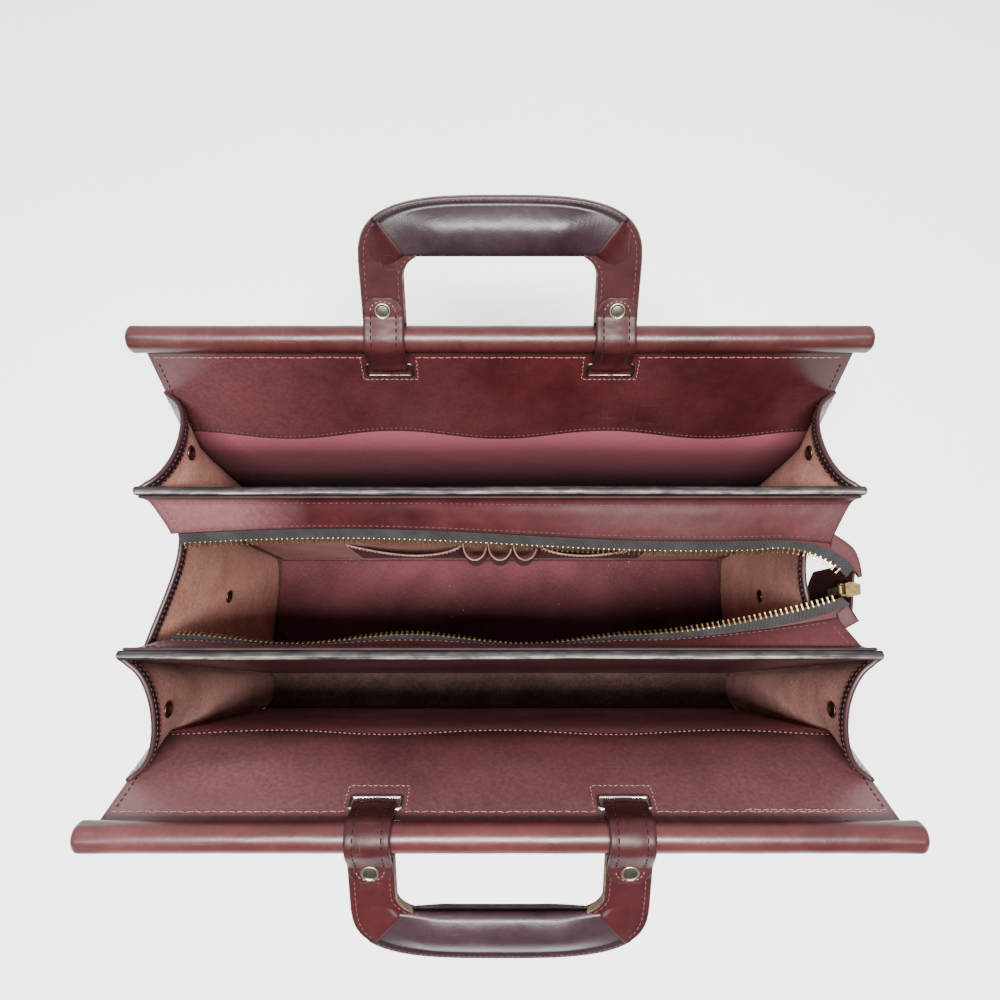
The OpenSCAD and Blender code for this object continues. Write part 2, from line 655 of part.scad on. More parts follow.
// Edge of the tape under the band, just clear of the hem
function tape_edge(hem, line) = [for (k = [0 : len(line) - 1]) hem[k] + 0.3 * unit(line[k] - hem[k])];
back_tape_edge = tape_edge(back_tape_line, back_teeth_line);
front_tape_edge = tape_edge(front_tape_line, front_teeth_line);
module tape(edge, line) {
    color(tape_grey) thick_sheet([for (k = [0 : len(line) - 1]) [edge[k], line[k]]], tape_t);
}
// Strip from a divider's face down to a hem; tops are the points where it leaves the face
module zip_band(hem, tops) {
    color(burgundy) thick_sheet([for (h = hem) let (c = [for (t = tops) [h[0], t[0], t[1]]], e = c[2])
        concat(c, [mix(e, h, 0.35) + [0, 0, 0.7], mix(e, h, 0.7) + [0, 0, 0.6], h])], zip_band_t);
}
module back_zip_band() {
    y = back_divider_y - divider_t / 2 - zip_band_t / 2;
    zip_band(back_hem, [[y, divider_top - 2], [y, divider_top - 5], [y - 1.4, divider_top - 7.8]]);
}
module front_zip_band() {
    e = front_half_t + zip_band_t / 2;
    zip_band(front_hem, [for (c = [[2, 0], [5, 0], [9, 0.8]])
        [front_mid(divider_top - c[0]) + e + c[1], divider_top - c[0]]]);
}
tooth = [1.5, 2.6, 1.3];
// Teeth along a line, each standing off the tape on the side away from its far edge
module teeth(edge, line) {
    last = len(line) - 1;
    steps = [for (k = [0 : last - 1]) norm(line[k + 1] - line[k])];
    starts = [for (k = 0, sum = 0; k < last; sum = sum + steps[k], k = k + 1) sum];
    color(brass) for (k = [0 : last - 1]) {
        d = unit(line[k + 1] - line[k]);
        from_tape = mix(line[k] - edge[k], line[k + 1] - edge[k + 1], 0.5);
        w = unit(from_tape - (from_tape * d) * d);
        n = cross(d, w);
        for (m = [ceil(starts[k] / tooth_pitch) : floor((starts[k] + steps[k] - 0.1) / tooth_pitch)]) {
            p = line[k] + (m * tooth_pitch - starts[k]) * d;
            multmatrix([[d[0], w[0], n[0], p[0]], [d[1], w[1], n[1], p[1]], [d[2], w[2], n[2], p[2]],
                [0, 0, 0, 1]]) translate([0, tooth[1] / 2 + 0.1, 0]) cube(tooth, center = true);
        }
    }
}
tab_t = 2;
flap_t = 1.6;
flap_top = [for (p = [[12.2, 11.5, -15.8], [12, 4, -17.4], [11, -4, -18.6], [9.8, -11, -17.8],
    [8.5, -15.6, -16.7]]) tail(p)];
flap_foot = [for (p = [[5, 10, -41], [4, 3.5, -47], [3.4, -4, -49], [3.6, -10.5, -46], [4.4, -14.6, -40]])
    tail(p)];
module zip_tail() {
    color(burgundy) {
        thick_sheet([for (k = [0 : len(back_tab_inner) - 1]) [back_tab_outer[k], back_tab_inner[k]]], tab_t);
        thick_sheet([for (k = [0 : 1]) [front_tab_outer[k], front_tab_inner[k]]], tab_t);
        thick_sheet([for (k = [0 : len(flap_top) - 1]) [flap_top[k], flap_foot[k]]], flap_t);
    }
}
slider_at = tail([4, -3.7, -14.7]);
slider_h = 4.6;
channel_h = 3;
pin_drop = slider_h / 2 + 2;
pin_r = 0.8;
pull_w = 4.4;
module zip_slider() {
    cheek = 0.9;
    color(brass) translate(slider_at) {
        difference() {
            translate([0, 0, -slider_h / 2]) linear_extrude(height = slider_h)
                polygon([[0, -3], [2.5, -4.1], [5, -3.9], [8.5, -2.8], [8.5, 2.8], [5, 3.9], [2.5, 4.1],
                    [0, 3]]);
            translate([-1, -10, -channel_h / 2]) cube([12, 20, channel_h]);
        }
        translate([1.2, -0.8, -channel_h / 2 - 0.2]) cube([3, 1.6, channel_h + 0.4]);
        for (side = [-1, 1]) translate([-1, side * (pull_w / 2 + 0.4 + cheek / 2) - cheek / 2, -pin_drop - 1])
            cube([2.6, cheek, pin_drop - slider_h / 2 + 1.4]);
        translate([0, 0, -pin_drop]) rotate([90, 0, 0])
            cylinder(r = pin_r, h = pull_w + 0.8 + cheek, center = true);
    }
}
module zip_pull() {
    eye_r = 1.7;
    len_down = 16;
    color(brass) translate(slider_at - [0, 0, pin_drop]) rotate([90, 0, 0])
        linear_extrude(height = pull_w, center = true) difference() {
            union() {
                circle(r = eye_r);
                translate([-0.5, -len_down]) square([1, len_down]);
            }
            circle(r = pin_r + gap);
        }
}

// Organizer on the back divider's face in the middle compartment
pocket_t = 1.4;
pocket_face = back_divider_y - divider_t / 2 - lining_t;
pocket_depth = 78;
pocket_gape = 9;
pocket_rows = 5;
pocket_cols = 12;
module slip_pocket() {
    thick_sheet([for (i = [0 : pocket_rows]) [for (k = [0 : pocket_cols]) let (u = k / pocket_cols)
        [loops_w / 2 + 0.5 + (1 - u) * pocket_w, pocket_face - pocket_t / 2
            - pocket_gape * pow(i / pocket_rows, 1.6) * sin(180 * pow(u, 1.8)),
         pocket_z - pocket_depth * (1 - i / pocket_rows)]]], pocket_t);
}
module slip_pockets() {
    color(burgundy) for (side = [0, 1]) mirror([side, 0, 0]) slip_pocket();
}
module lobe(r, out) {
    polygon([for (k = [0 : 16]) [r * cos(180 * k / 16), -out * sin(180 * k / 16)]]);
}
module pen_loops() {
    r = loops_w / 6;
    out = 14;
    color(burgundy) translate([0, pocket_face, pocket_z - loops_h]) union() {
        translate([-loops_w / 2, -pocket_t, 0]) cube([loops_w, pocket_t, loops_h]);
        for (k = [-1 : 1]) translate([2 * k * r, 0, 0]) linear_extrude(height = loops_h) difference() {
            lobe(r - 0.05, out);
            lobe(r - pocket_t, out - pocket_t);
        }
    }
}

base_leather();
base_board();
base_suede();
loose_bottom_board();
back_divider_leather();
back_divider_board();
back_divider_lining();
back_zip_band();
tape(back_tape_edge, back_teeth_line);  // back_zip_tape
teeth(back_tape_edge, back_teeth_line);  // back_zip_teeth
zip_tail();
slip_pockets();
pen_loops();
back_gusset(-1);  // back_gusset_left
back_gusset(1);  // back_gusset_right
middle_gusset(-1);  // middle_gusset_left
middle_gusset(1);  // middle_gusset_right
snap_pair(back_spot, back_spot);  // back_gusset_snaps
snap_pair(right_spot, left_spot);  // middle_gusset_snaps
front_divider_leather();
front_divider_board();
front_divider_lining();
front_zip_band();
tape(front_tape_edge, front_teeth_line);  // front_zip_tape
teeth(front_tape_edge, front_teeth_line);  // front_zip_teeth
front_gusset(-1);  // front_gusset_left
front_gusset(1);  // front_gusset_right
snap_pair(front_spot, front_spot);  // front_gusset_snaps
wall_leather(back_wall);  // back_wall_leather
wall_board(back_wall);  // back_wall_board
wall_lining(back_wall);  // back_wall_lining
wall_band(back_wall, back_band_h);  // back_wall_band
rod_core(back_wall);  // back_rod
rod_caps(back_wall);  // back_rod_caps
slot_plates(back_wall);  // back_slot_plates
wall_leather(front_wall);  // front_wall_leather
wall_board(front_wall);  // front_wall_board
wall_lining(front_wall);  // front_wall_lining
wall_band(front_wall, front_band_h);  // front_wall_band
rod_core(front_wall);  // front_rod
rod_caps(front_wall);  // front_rod_caps
slot_plates(front_wall);  // front_slot_plates
handle_body(back_wall);  // back_handle_body
grip_pad(back_wall);  // back_grip_pad
grip_core(back_wall);  // back_grip_core
handle_straps(back_wall);  // back_handle_straps
handle_rivets(back_wall);  // back_handle_rivets
handle_body(front_wall);  // front_handle_body
grip_pad(front_wall);  // front_grip_pad
grip_core(front_wall);  // front_grip_core
handle_straps(front_wall);  // front_handle_straps
handle_rivets(front_wall);  // front_handle_rivets
zip_slider();
zip_pull();
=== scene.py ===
"""Looks of an open leather briefcase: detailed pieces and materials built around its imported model.

Lengths are in millimetres until a mesh is made, and follow the sizes of the model's source.
"""
import math

import bmesh
import bpy
import numpy as np
from mathutils import Matrix, Vector, noise


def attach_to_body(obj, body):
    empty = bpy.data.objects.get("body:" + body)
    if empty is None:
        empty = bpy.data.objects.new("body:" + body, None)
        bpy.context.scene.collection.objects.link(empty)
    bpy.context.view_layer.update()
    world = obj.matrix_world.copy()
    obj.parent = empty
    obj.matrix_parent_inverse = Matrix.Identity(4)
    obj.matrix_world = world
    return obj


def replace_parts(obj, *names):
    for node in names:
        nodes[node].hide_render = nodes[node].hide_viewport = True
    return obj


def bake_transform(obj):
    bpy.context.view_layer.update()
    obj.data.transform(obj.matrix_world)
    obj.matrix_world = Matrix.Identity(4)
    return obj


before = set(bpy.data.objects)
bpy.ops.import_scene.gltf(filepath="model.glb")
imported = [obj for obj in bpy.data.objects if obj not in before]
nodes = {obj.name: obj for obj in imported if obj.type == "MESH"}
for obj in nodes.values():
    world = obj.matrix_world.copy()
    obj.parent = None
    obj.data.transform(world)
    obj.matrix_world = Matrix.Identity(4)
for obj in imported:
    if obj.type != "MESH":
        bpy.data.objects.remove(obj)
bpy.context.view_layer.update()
MM = 0.001
SIDES = (-1, 1)
scene = bpy.context.scene

# Sizes shared with the model
half_w = 208.0
wall_len = 290.0
bend_start = 190.0
bend_r = 60.0
rod_r = 8.0
sleeve_end = 210.0
cap_len = 5.0
leather_t = 2.0
band_t = 1.6
pocket_t = 1.4
cloth_t = 0.8
gusset_t = 1.6
base_top = 5.0
base_half = 89.1
pivot_z = 8.4
bead_r = 3.1
n_board = 0.7
n_out = 2.7
n_lining = 1.5
n_band = 3.1
layer_foot = bead_r + 1
layer_top = wall_len - rod_r - 0.5
into_sleeve = wall_len - rod_r + 0.8
slot_drop = 21.0
strap_gap = 132.0
strap_w = 23.0
strap_t = 2.6
divider_t = 5.2
divider_top = 281.0
back_divider_y = 51.0
front_divider_y = 52.0
front_lean = math.radians(2.4)
front_half_t = divider_t / 2 / math.cos(front_lean)
band_end = 192.0
handle_h = 78.0
leg_w = 25.0
handle_t = 5.0
grip_h = 27.0
grip_t = 17.0
flange = 4.5


# Walls: a wall is followed by s, the length up it, and n, the depth out from its board
class Wall:
    def __init__(self, name, side, foot_y, lean, bend, band_h, handle_up):
        self.name = name
        self.body = name + "_wall"
        self.side = side
        self.foot_y = foot_y
        self.lean = math.radians(lean)
        self.bend = math.radians(bend)
        self.band_h = band_h
        up = math.radians(handle_up)
        self.handle = (side * math.cos(up), math.sin(up))

    def turn(self, s):
        return self.lean + min(self.bend, max(0.0, s - bend_start) / bend_r)

    def at(self, s, n=0.0):
        """Point [y, z] on the wall."""
        a = self.turn(s)
        if s <= bend_start:
            y, z = s * math.sin(a), s * math.cos(a)
        else:
            past = max(0.0, s - bend_start - bend_r * self.bend)
            y = bend_start * math.sin(self.lean) + bend_r * (math.cos(self.lean) - math.cos(a))
            z = bend_start * math.cos(self.lean) + bend_r * (math.sin(a) - math.sin(self.lean))
            y, z = y + past * math.sin(a), z + past * math.cos(a)
        return self.foot_y + self.side * (y + n * math.cos(a)), pivot_z + z - n * math.sin(a)

    def point(self, x, s, n=0.0):
        return Vector((x, *self.at(s, n)))

    def inward(self, s):
        a = self.turn(s)
        return Vector((0, -self.side * math.cos(a), math.sin(a)))

    def rod(self):
        return self.at(wall_len)

    def pick(self, at_back, at_front):
        return at_back if self.side > 0 else at_front


back = Wall("back", 1, 86.0, 4.0, 22.0, 78.0, 40.0)
front = Wall("front", -1, -86.0, 0.5, 30.0, 88.0, -30.0)


def front_mid(z):
    return -front_divider_y + (z - base_top + 0.2) * math.tan(front_lean)


def clamp(value):
    return max(0.0, min(1.0, value))


def ease(t):
    return t * t * (3 - 2 * t)


def span(a, b, count):
    return [a + (b - a) * k / (count - 1) for k in range(count)]


def ring_angles(count):
    return [2 * math.pi * k / count for k in range(count)]


def ripple(x, y, scale, seed):
    """Smooth noise from -1 to 1 over a surface."""
    return noise.noise(Vector((x / scale, y / scale, seed * 7.31)))


# Folds: for each, the two bodies it joins, and the points in metres where its bend starts and ends; pieces on a fold
# are only baked in place here
FOLDS = {
    "back_fold": ("case", "back_wall", (0, 0.054, 0.19), (0, 0.1018, 0.1867)),
    "front_fold": ("case", "front_wall", (0, -0.047, 0.15), (0, -0.09, 0.15)),
}
for wall in (back, front):
    centre = Vector((0, *wall.rod()))
    down = (wall.point(0, wall_len - slot_drop) - centre).normalized()
    across = (Vector((0, *wall.handle)) - down).normalized() * (rod_r - 2)
    FOLDS[wall.name + "_strap"] = (wall.body, wall.name + "_handle",
                                   tuple((centre - across) * MM), tuple((centre + across) * MM))


def attach(obj, where):
    if where in FOLDS:
        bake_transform(obj)
    else:
        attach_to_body(obj, where)


def stiff_fold(name, where, centre):
    """Adds a fold entry for a hard piece, meant to turn it as a whole by the share that the soft one turns at its
    centre; here the piece is only baked in place.
    """
    if where not in FOLDS:
        return where
    a, b, start, end = FOLDS[where]
    start, way = Vector(start), Vector(end) - Vector(start)
    t = clamp((centre * MM - start).dot(way) / way.length_squared)
    way = way.normalized() * 2.0
    FOLDS[name] = (a, b, tuple(centre * MM - way * t), tuple(centre * MM + way * (1 - t)))
    return name


# Node trees
def is_socket(value):
    return isinstance(value, bpy.types.NodeSocket)


class Nodes:
    """A material's tree, built by short calls; textures lie in the object's own space or on its unrolled face."""

    def __init__(self, name):
        self.mat = bpy.data.materials.new(name)
        self.mat.use_nodes = True
        self.tree = self.mat.node_tree
        self.shader = self.tree.nodes["Principled BSDF"]

    def new(self, kind, **inputs):
        """Adds a node and sets or links the sockets that are named."""
        node = self.tree.nodes.new("ShaderNode" + kind)
        for name, value in inputs.items():
            self.set(node.inputs[name], value)
        return node

    def set(self, socket, value):
        if is_socket(value):
            self.tree.links.new(value, socket)
        elif isinstance(value, tuple) and socket.type == "RGBA":
            socket.default_value = (*value, 1)
        elif value is not None:
            socket.default_value = value

    def space(self, scale=(1, 1, 1), uv=False, turn=(0, 0, 0)):
        coord = self.new("TexCoord").outputs["UV" if uv else "Object"]
        return self.new("Mapping", Scale=scale, Rotation=turn, Vector=coord).outputs["Vector"]

    def noise(self, scale, detail=3.0, rough=0.55, stretch=(1, 1, 1), uv=False, turn=(0, 0, 0), distort=0.0):
        where = self.space(stretch, uv, turn)
        return self.new("TexNoise", Scale=scale, Detail=detail, Roughness=rough, Distortion=distort,
                        Vector=where).outputs["Fac"]

    def cells(self, scale):
        return self.new("TexVoronoi", Scale=scale, Vector=self.space()).outputs["Distance"]

    def wave(self, period, turn=(0, 0, 0), distort=0.0):
        """Diagonal ribs at a period in millimetres of the unrolled cloth."""
        scale = 2 * math.pi / (20 * period * MM)
        node = self.new("TexWave", Scale=scale, Distortion=distort, Vector=self.space(uv=True, turn=turn))
        node.bands_direction = "DIAGONAL"
        return node.outputs["Fac"]

    def ramp(self, value, *stops):
        """Maps a value through (position, level) stops."""
        node = self.new("ValToRGB", Fac=value)
        elements = node.color_ramp.elements
        while len(elements) < len(stops):
            elements.new(0.5)
        for element, (place, level) in zip(elements, stops):
            element.position = place
            element.color = (level, level, level, 1)
        return node.outputs["Color"]

    def math(self, how, a, b):
        node = self.new("Math")
        node.operation = how
        for socket, value in zip(node.inputs, (a, b)):
            self.set(socket, value)
        return node.outputs[0]

    def times(self, a, b):
        return self.math("MULTIPLY", a, b)

    def plus(self, a, b):
        return self.math("ADD", a, b)

    def most(self, a, b):
        return self.math("MAXIMUM", a, b)

    def mix(self, share, a, b):
        node = self.new("Mix")
        node.data_type = "RGBA"
        for socket, value in zip((node.inputs[0], node.inputs[6], node.inputs[7]), (share, a, b)):
            self.set(socket, value)
        return node.outputs[2]

    def mark(self, name):
        """A number painted on the mesh's points."""
        node = self.new("Attribute")
        node.attribute_name = name
        return node.outputs["Fac"]

    def bump(self, height, strength, distance, under=None):
        node = self.new("Bump", Strength=strength, Distance=distance * MM, Height=height, Normal=under)
        return node.outputs["Normal"]

    def finish(self, color, rough, normal, **fixed):
        sockets = self.shader.inputs
        for name, value in {"Base Color": color, "Roughness": rough, "Normal": normal, **fixed}.items():
            self.set(sockets[name.replace("_", " ")], value)
        return self.mat


def tint(color, times, plus=0.0):
    return tuple(min(1.0, times * c + plus) for c in color)


def leather(name, light, dark, rough=0.31, grain=1.0, scratches=0.5, coat=0.06, burnish=(0.018, 0.005, 0.006),
            haze=(0.105, 0.041, 0.045), hazy=0.25, shine=0.30):
    """Polished hide: drifting colour, dull bloom with a painted sheen where the mesh's mark is set, fine grain,
    hairline scratches and edges burnished dark.
    """
    t = Nodes(name)
    drift = t.noise(14, 4, 0.6)
    blotch = t.noise(70, 5, 0.65, distort=0.4)
    fine = t.noise(420, 3, 0.6)
    tone = t.plus(t.times(drift, 0.72), t.times(blotch, 0.28))
    color = t.mix(t.ramp(tone, (0.36, 0.0), (0.62, 1.0)), dark, light)
    # Random dull bloom, and a painted sheen from the mesh's mark; both pale the colour towards the pale bloom colour
    bloom_and_painted_sheen = t.most(t.ramp(t.noise(9, 3, 0.5), (0.42, 0.0), (0.66, hazy)),
                   t.times(t.mark("haze"), t.ramp(drift, (0.32, 0.82), (0.66, 1.08))))
    bloom_and_painted_sheen = t.times(bloom_and_painted_sheen, t.ramp(fine, (0.3, 0.84), (0.7, 1.0)))
    color = t.mix(bloom_and_painted_sheen, color, haze)
    color = t.mix(t.ramp(fine, (0.35, 0.25), (0.7, 0.0)), color, dark)
    line_a = t.noise(1500, 2, 0.5, (1, 0.03, 0.03), turn=(0.3, 0.5, 0.6), distort=0.5)
    line_b = t.noise(1700, 2, 0.5, (0.03, 1, 1), turn=(0.2, -0.7, 0.4), distort=0.5)
    lines = t.most(t.ramp(line_a, (0.66, 0.0), (0.71, 1.0)), t.ramp(line_b, (0.66, 0.0), (0.71, 1.0)))
    lines = t.times(lines, t.ramp(t.noise(26, 3), (0.5, 0.0), (0.62, scratches)))
    color = t.mix(lines, color, tint(light, 1.7, 0.03))
    edge = t.times(t.mark("edge"), t.ramp(t.noise(160, 3), (0.3, 0.6), (0.7, 1.0)))
    color = t.mix(edge, color, burnish)
    gloss = t.plus(t.times(blotch, 0.22), rough - 0.11)
    gloss = t.plus(gloss, t.times(t.most(lines, bloom_and_painted_sheen), 0.2))
    pores = t.bump(t.cells(1150), 0.10 * grain, 0.10)
    folds = t.bump(t.noise(240, 4, 0.62), 0.22 * grain, 0.18, pores)
    return t.finish(color, gloss, folds, Coat_Weight=coat, Coat_Roughness=0.3, Specular_IOR_Level=shine)


def suede_like(name, light, dark):
    t = Nodes(name)
    patch = t.noise(26, 4, 0.62, distort=0.6)
    fibre = t.noise(900, 3, 0.7)
    color = t.mix(t.ramp(patch, (0.34, 0.0), (0.68, 1.0)), dark, light)
    color = t.mix(t.ramp(fibre, (0.38, 0.75), (0.60, 0.0)), color, tint(dark, 0.62))
    color = t.mix(t.ramp(t.noise(340, 3, 0.7), (0.5, 0.0), (0.7, 0.35)), color, tint(light, 1.25))
    color = t.mix(t.times(t.mark("edge"), 0.5), color, tint(dark, 0.5))
    nap = t.bump(fibre, 0.5, 0.25, t.bump(t.noise(120, 4, 0.6), 0.3, 0.5))
    return t.finish(color, 0.94, nap, Sheen_Weight=0.03, Sheen_Roughness=0.45, Specular_IOR_Level=0.1)


def twill(name, light, dark, pitch=0.9, lint=0.0, painted_light_gain=2.6):
    """Woven lining with fine diagonal ribs, uneven yarn and an optional sprinkle of lint; where the mesh's mark is set,
    the colour rises to a brighter copy as painted light.
    """
    t = Nodes(name)
    ribs = t.wave(pitch, distort=1.2)
    yarn = t.noise(1500, 2, 0.6, (1, 0.25, 1), uv=True)
    color = t.mix(t.ramp(t.noise(18, 4, 0.6), (0.36, 0.0), (0.66, 1.0)), dark, light)
    # Painted light: the colour rises to a brighter copy of itself where the mesh's mark is set
    color = t.mix(t.mark("haze"), color, tuple(painted_light_gain * c for c in light))
    color = t.mix(t.ramp(ribs, (0.2, 0.42), (0.75, 0.0)), color, tint(dark, 0.45))
    color = t.mix(t.ramp(yarn, (0.5, 0.0), (0.72, 0.35)), color, tint(light, 1.5, 0.02))
    if lint:
        specks = t.math("LESS_THAN", t.cells(150), 0.06)
        fibres = t.ramp(t.noise(90, 2, 0.5, (1, 0.06, 0.06), turn=(0, 0, 0.7)), (0.735, 0.0), (0.75, 1.0))
        strewn = t.times(t.most(specks, fibres), t.ramp(t.noise(60, 2), (0.53, 0.0), (0.60, lint)))
        color = t.mix(strewn, color, (0.34, 0.26, 0.24))
    ribs_bump = t.bump(ribs, 0.35, 0.25, t.bump(t.noise(60, 3), 0.25, 0.8))
    return t.finish(color, 0.95, ribs_bump, Specular_IOR_Level=0.08)


def edge_paint(name, base, worn, wear_and_highlight_amount):
    """Painted cut edge, pale along its middle in broken streaks, mostly where it faces the front: partly rubbed wear,
    partly a painted highlight where the light falls.
    """
    t = Nodes(name)
    streak = t.noise(1900, 4, 0.7, (0.008, 1, 1))
    spots = t.noise(300, 4, 0.65, (0.3, 1, 1))
    axes = t.new("SeparateXYZ", Vector=t.new("NewGeometry").outputs["Normal"])
    # Faces turned towards the front, where the light comes from, get the pale streaks: a painted highlight mixed with
    # the wear
    corner = t.ramp(t.times(axes.outputs["Y"], -1.0), (0.0, 0.10), (0.30, 1.0), (0.62, 1.0), (0.85, 0.1))
    rub_and_painted_highlight = t.times(t.ramp(t.mark("worn"), (0.15, 0.0), (0.5, 1.0)), t.ramp(streak, (0.42, 0.0), (0.54, 1.0)))
    rub_and_painted_highlight = t.times(rub_and_painted_highlight, corner)
    rub_and_painted_highlight = t.times(rub_and_painted_highlight, t.ramp(spots, (0.35, 0.2), (0.6, 1.0)))
    rub_and_painted_highlight = t.times(rub_and_painted_highlight, wear_and_highlight_amount)
    color = t.mix(t.ramp(spots, (0.4, 0.0), (0.7, 0.5)), base, tint(base, 1.9, 0.008))
    color = t.mix(rub_and_painted_highlight, color, worn)
    bump = t.bump(t.noise(300, 4, 0.65, (0.4, 1, 1)), 0.35, 0.3)
    return t.finish(color, t.plus(t.times(rub_and_painted_highlight, 0.2), 0.6), bump, Specular_IOR_Level=0.18)


def raw_edge(name, light, dark):
    """Cut hide left bare, with the layers of fibre that show at its edge."""
    t = Nodes(name)
    layers = t.noise(500, 4, 0.7, (0.12, 0.12, 1))
    color = t.mix(t.ramp(layers, (0.35, 0.0), (0.65, 1.0)), dark, light)
    color = t.mix(t.ramp(t.noise(60, 4), (0.5, 0.0), (0.7, 0.5)), color, tint(dark, 0.4))
    return t.finish(color, 0.75, t.bump(layers, 0.5, 0.3), Specular_IOR_Level=0.3)


def metal(name, light, dark, rough, tarnish=0.5):
    t = Nodes(name)
    cloud = t.noise(300, 4, 0.65)
    spots = t.noise(1200, 3, 0.6)
    grime = t.times(t.ramp(cloud, (0.4, 0.0), (0.62, 1.0)), tarnish)
    color = t.mix(grime, light, dark)
    gloss = t.plus(t.times(grime, 0.3), t.times(spots, 0.16))
    gloss = t.plus(gloss, rough - 0.08)
    return t.finish(color, gloss, t.bump(spots, 0.12, 0.08), Metallic=1.0)


def thread(name, light, dark):
    t = Nodes(name)
    twist = t.noise(900, 2, 0.6)
    color = t.mix(t.ramp(twist, (0.35, 0.0), (0.65, 1.0)), dark, light)
    return t.finish(color, 0.75, t.bump(twist, 0.5, 0.15), Sheen_Weight=0.03, Specular_IOR_Level=0.1)


def woven_tape(name, light, dark):
    """Zip tape in a close herringbone."""
    t = Nodes(name)
    weave = t.times(t.wave(1.1, distort=0.6), t.wave(1.1, turn=(0, 0, math.pi / 2), distort=0.6))
    color = t.mix(t.ramp(weave, (0.1, 0.0), (0.6, 1.0)), dark, light)
    color = t.mix(t.ramp(t.noise(90, 4), (0.45, 0.0), (0.7, 0.4)), color, tint(light, 1.5))
    return t.finish(color, 0.85, t.bump(weave, 0.4, 0.25), Specular_IOR_Level=0.08)


def fibre_board(name, light, dark):
    t = Nodes(name)
    pulp = t.noise(700, 4, 0.7, (1, 1, 0.3))
    color = t.mix(t.ramp(pulp, (0.35, 0.0), (0.65, 1.0)), dark, light)
    return t.finish(color, 0.88, t.bump(pulp, 0.3, 0.2), Specular_IOR_Level=0.2)


burgundy = leather("burgundy", (0.042, 0.0078, 0.0088), (0.017, 0.0030, 0.0038), scratches=0.2)
# The rods' sleeves are one leather in two copies: the back one painted darker as shade, the front one lighter as light
back_roll = leather("back_roll", (0.048, 0.0110, 0.0108), (0.020, 0.0042, 0.0044), rough=0.34, grain=2.4,
                    scratches=0.3, haze=(0.075, 0.031, 0.030))
front_roll = leather("front_roll", (0.062, 0.0140, 0.0145), (0.028, 0.0056, 0.0060), rough=0.34, grain=2.2,
                     scratches=0.3, haze=(0.095, 0.040, 0.040))
burgundy_strap = leather("burgundy_strap", (0.036, 0.0066, 0.0076), (0.015, 0.0026, 0.0034), rough=0.42, grain=1.8,
                         scratches=0.4, coat=0.0, haze=(0.080, 0.031, 0.035), shine=0.17)
leg_leather = leather("leg_leather", (0.033, 0.0058, 0.0068), (0.015, 0.0025, 0.0033), rough=0.45, grain=1.8,
                      scratches=0.3, coat=0.0, haze=(0.048, 0.016, 0.018), hazy=0.1, shine=0.12)
strip_leather = leather("strip_leather", (0.042, 0.0078, 0.0088), (0.018, 0.0032, 0.0040), rough=0.40, grain=1.3,
                        scratches=0.2, coat=0.0, shine=0.15)
burgundy_dull = leather("burgundy_dull", (0.046, 0.0086, 0.0098), (0.020, 0.0036, 0.0045), rough=0.52, coat=0.0,
                        shine=0.12)
burgundy_flesh = leather("burgundy_reverse", (0.070, 0.026, 0.028), (0.040, 0.013, 0.015), rough=0.6, grain=1.5,
                         coat=0.03)
pocket_hide = leather("pocket_hide", (0.130, 0.055, 0.055), (0.070, 0.026, 0.028), rough=0.5, grain=1.3, coat=0.05)
plum = leather("plum", (0.026, 0.0130, 0.0170), (0.009, 0.0040, 0.0058), rough=0.37, grain=3.2, scratches=0.3,
               coat=0.03, burnish=(0.005, 0.003, 0.0035), haze=(0.040, 0.027, 0.034), shine=0.24)
hem_leather = leather("hem_leather", (0.030, 0.012, 0.016), (0.012, 0.005, 0.007), rough=0.42, grain=1.2,
                      scratches=0.3, haze=(0.040, 0.024, 0.029))
# The zip tail's flap: the burgundy made much darker, painted shade under the zip
tail_leather = leather("tail_leather", (0.018, 0.0045, 0.0055), (0.007, 0.0020, 0.0025), rough=0.45, scratches=0.3,
                       coat=0.0, haze=(0.024, 0.009, 0.010), hazy=0.15, shine=0.12)
suede = suede_like("suede", (0.700, 0.325, 0.250), (0.440, 0.190, 0.148))
shaded_suede = suede_like("shaded_suede", (0.480, 0.225, 0.185), (0.290, 0.128, 0.106))
# The base's suede is the gussets' suede made about ten times darker: painted shade on the compartments' floors; the
# base's rim keeps the plain suede
base_suede = suede_like("base_suede", (0.070, 0.038, 0.034), (0.030, 0.016, 0.014))
lining = twill("lining", (0.300, 0.145, 0.125), (0.190, 0.085, 0.075))
# The walls' linings are one cloth: the back one is painted near-black as shade deep in its compartment and brightened
# near its top as light; the front one is painted bright as light
back_lining = twill("back_lining", (0.018, 0.0050, 0.0062), (0.009, 0.0025, 0.0031), painted_light_gain=11.0)
front_lining = twill("front_lining", (0.42, 0.170, 0.190), (0.25, 0.095, 0.110), painted_light_gain=1.5)
board_cloth = twill("board_cloth", (0.085, 0.026, 0.030), (0.045, 0.013, 0.016), pitch=1.1, lint=0.7)
paint = edge_paint("edge_paint", (0.003, 0.0026, 0.003), (0.26, 0.215, 0.205), 1.0)
dark_edge = edge_paint("dark_edge", (0.012, 0.004, 0.0045), (0.030, 0.011, 0.012), 0.5)
brown_edge = edge_paint("brown_edge", (0.016, 0.006, 0.005), (0.13, 0.075, 0.05), 0.5)
pale_edge = edge_paint("pale_edge", (0.080, 0.032, 0.030), (0.40, 0.28, 0.24), 0.9)
tan_edge = raw_edge("raw_edge", (0.30, 0.18, 0.09), (0.14, 0.075, 0.04))
layered_edge = raw_edge("layered_edge", (0.11, 0.075, 0.050), (0.035, 0.020, 0.015))
threads = {"pale": thread("pale_thread", (0.22, 0.125, 0.110), (0.120, 0.060, 0.054)),
           "hem": thread("hem_thread", (0.085, 0.042, 0.042), (0.040, 0.018, 0.020)),
           "dark": thread("dark_thread", (0.009, 0.003, 0.0035), (0.004, 0.0015, 0.002))}
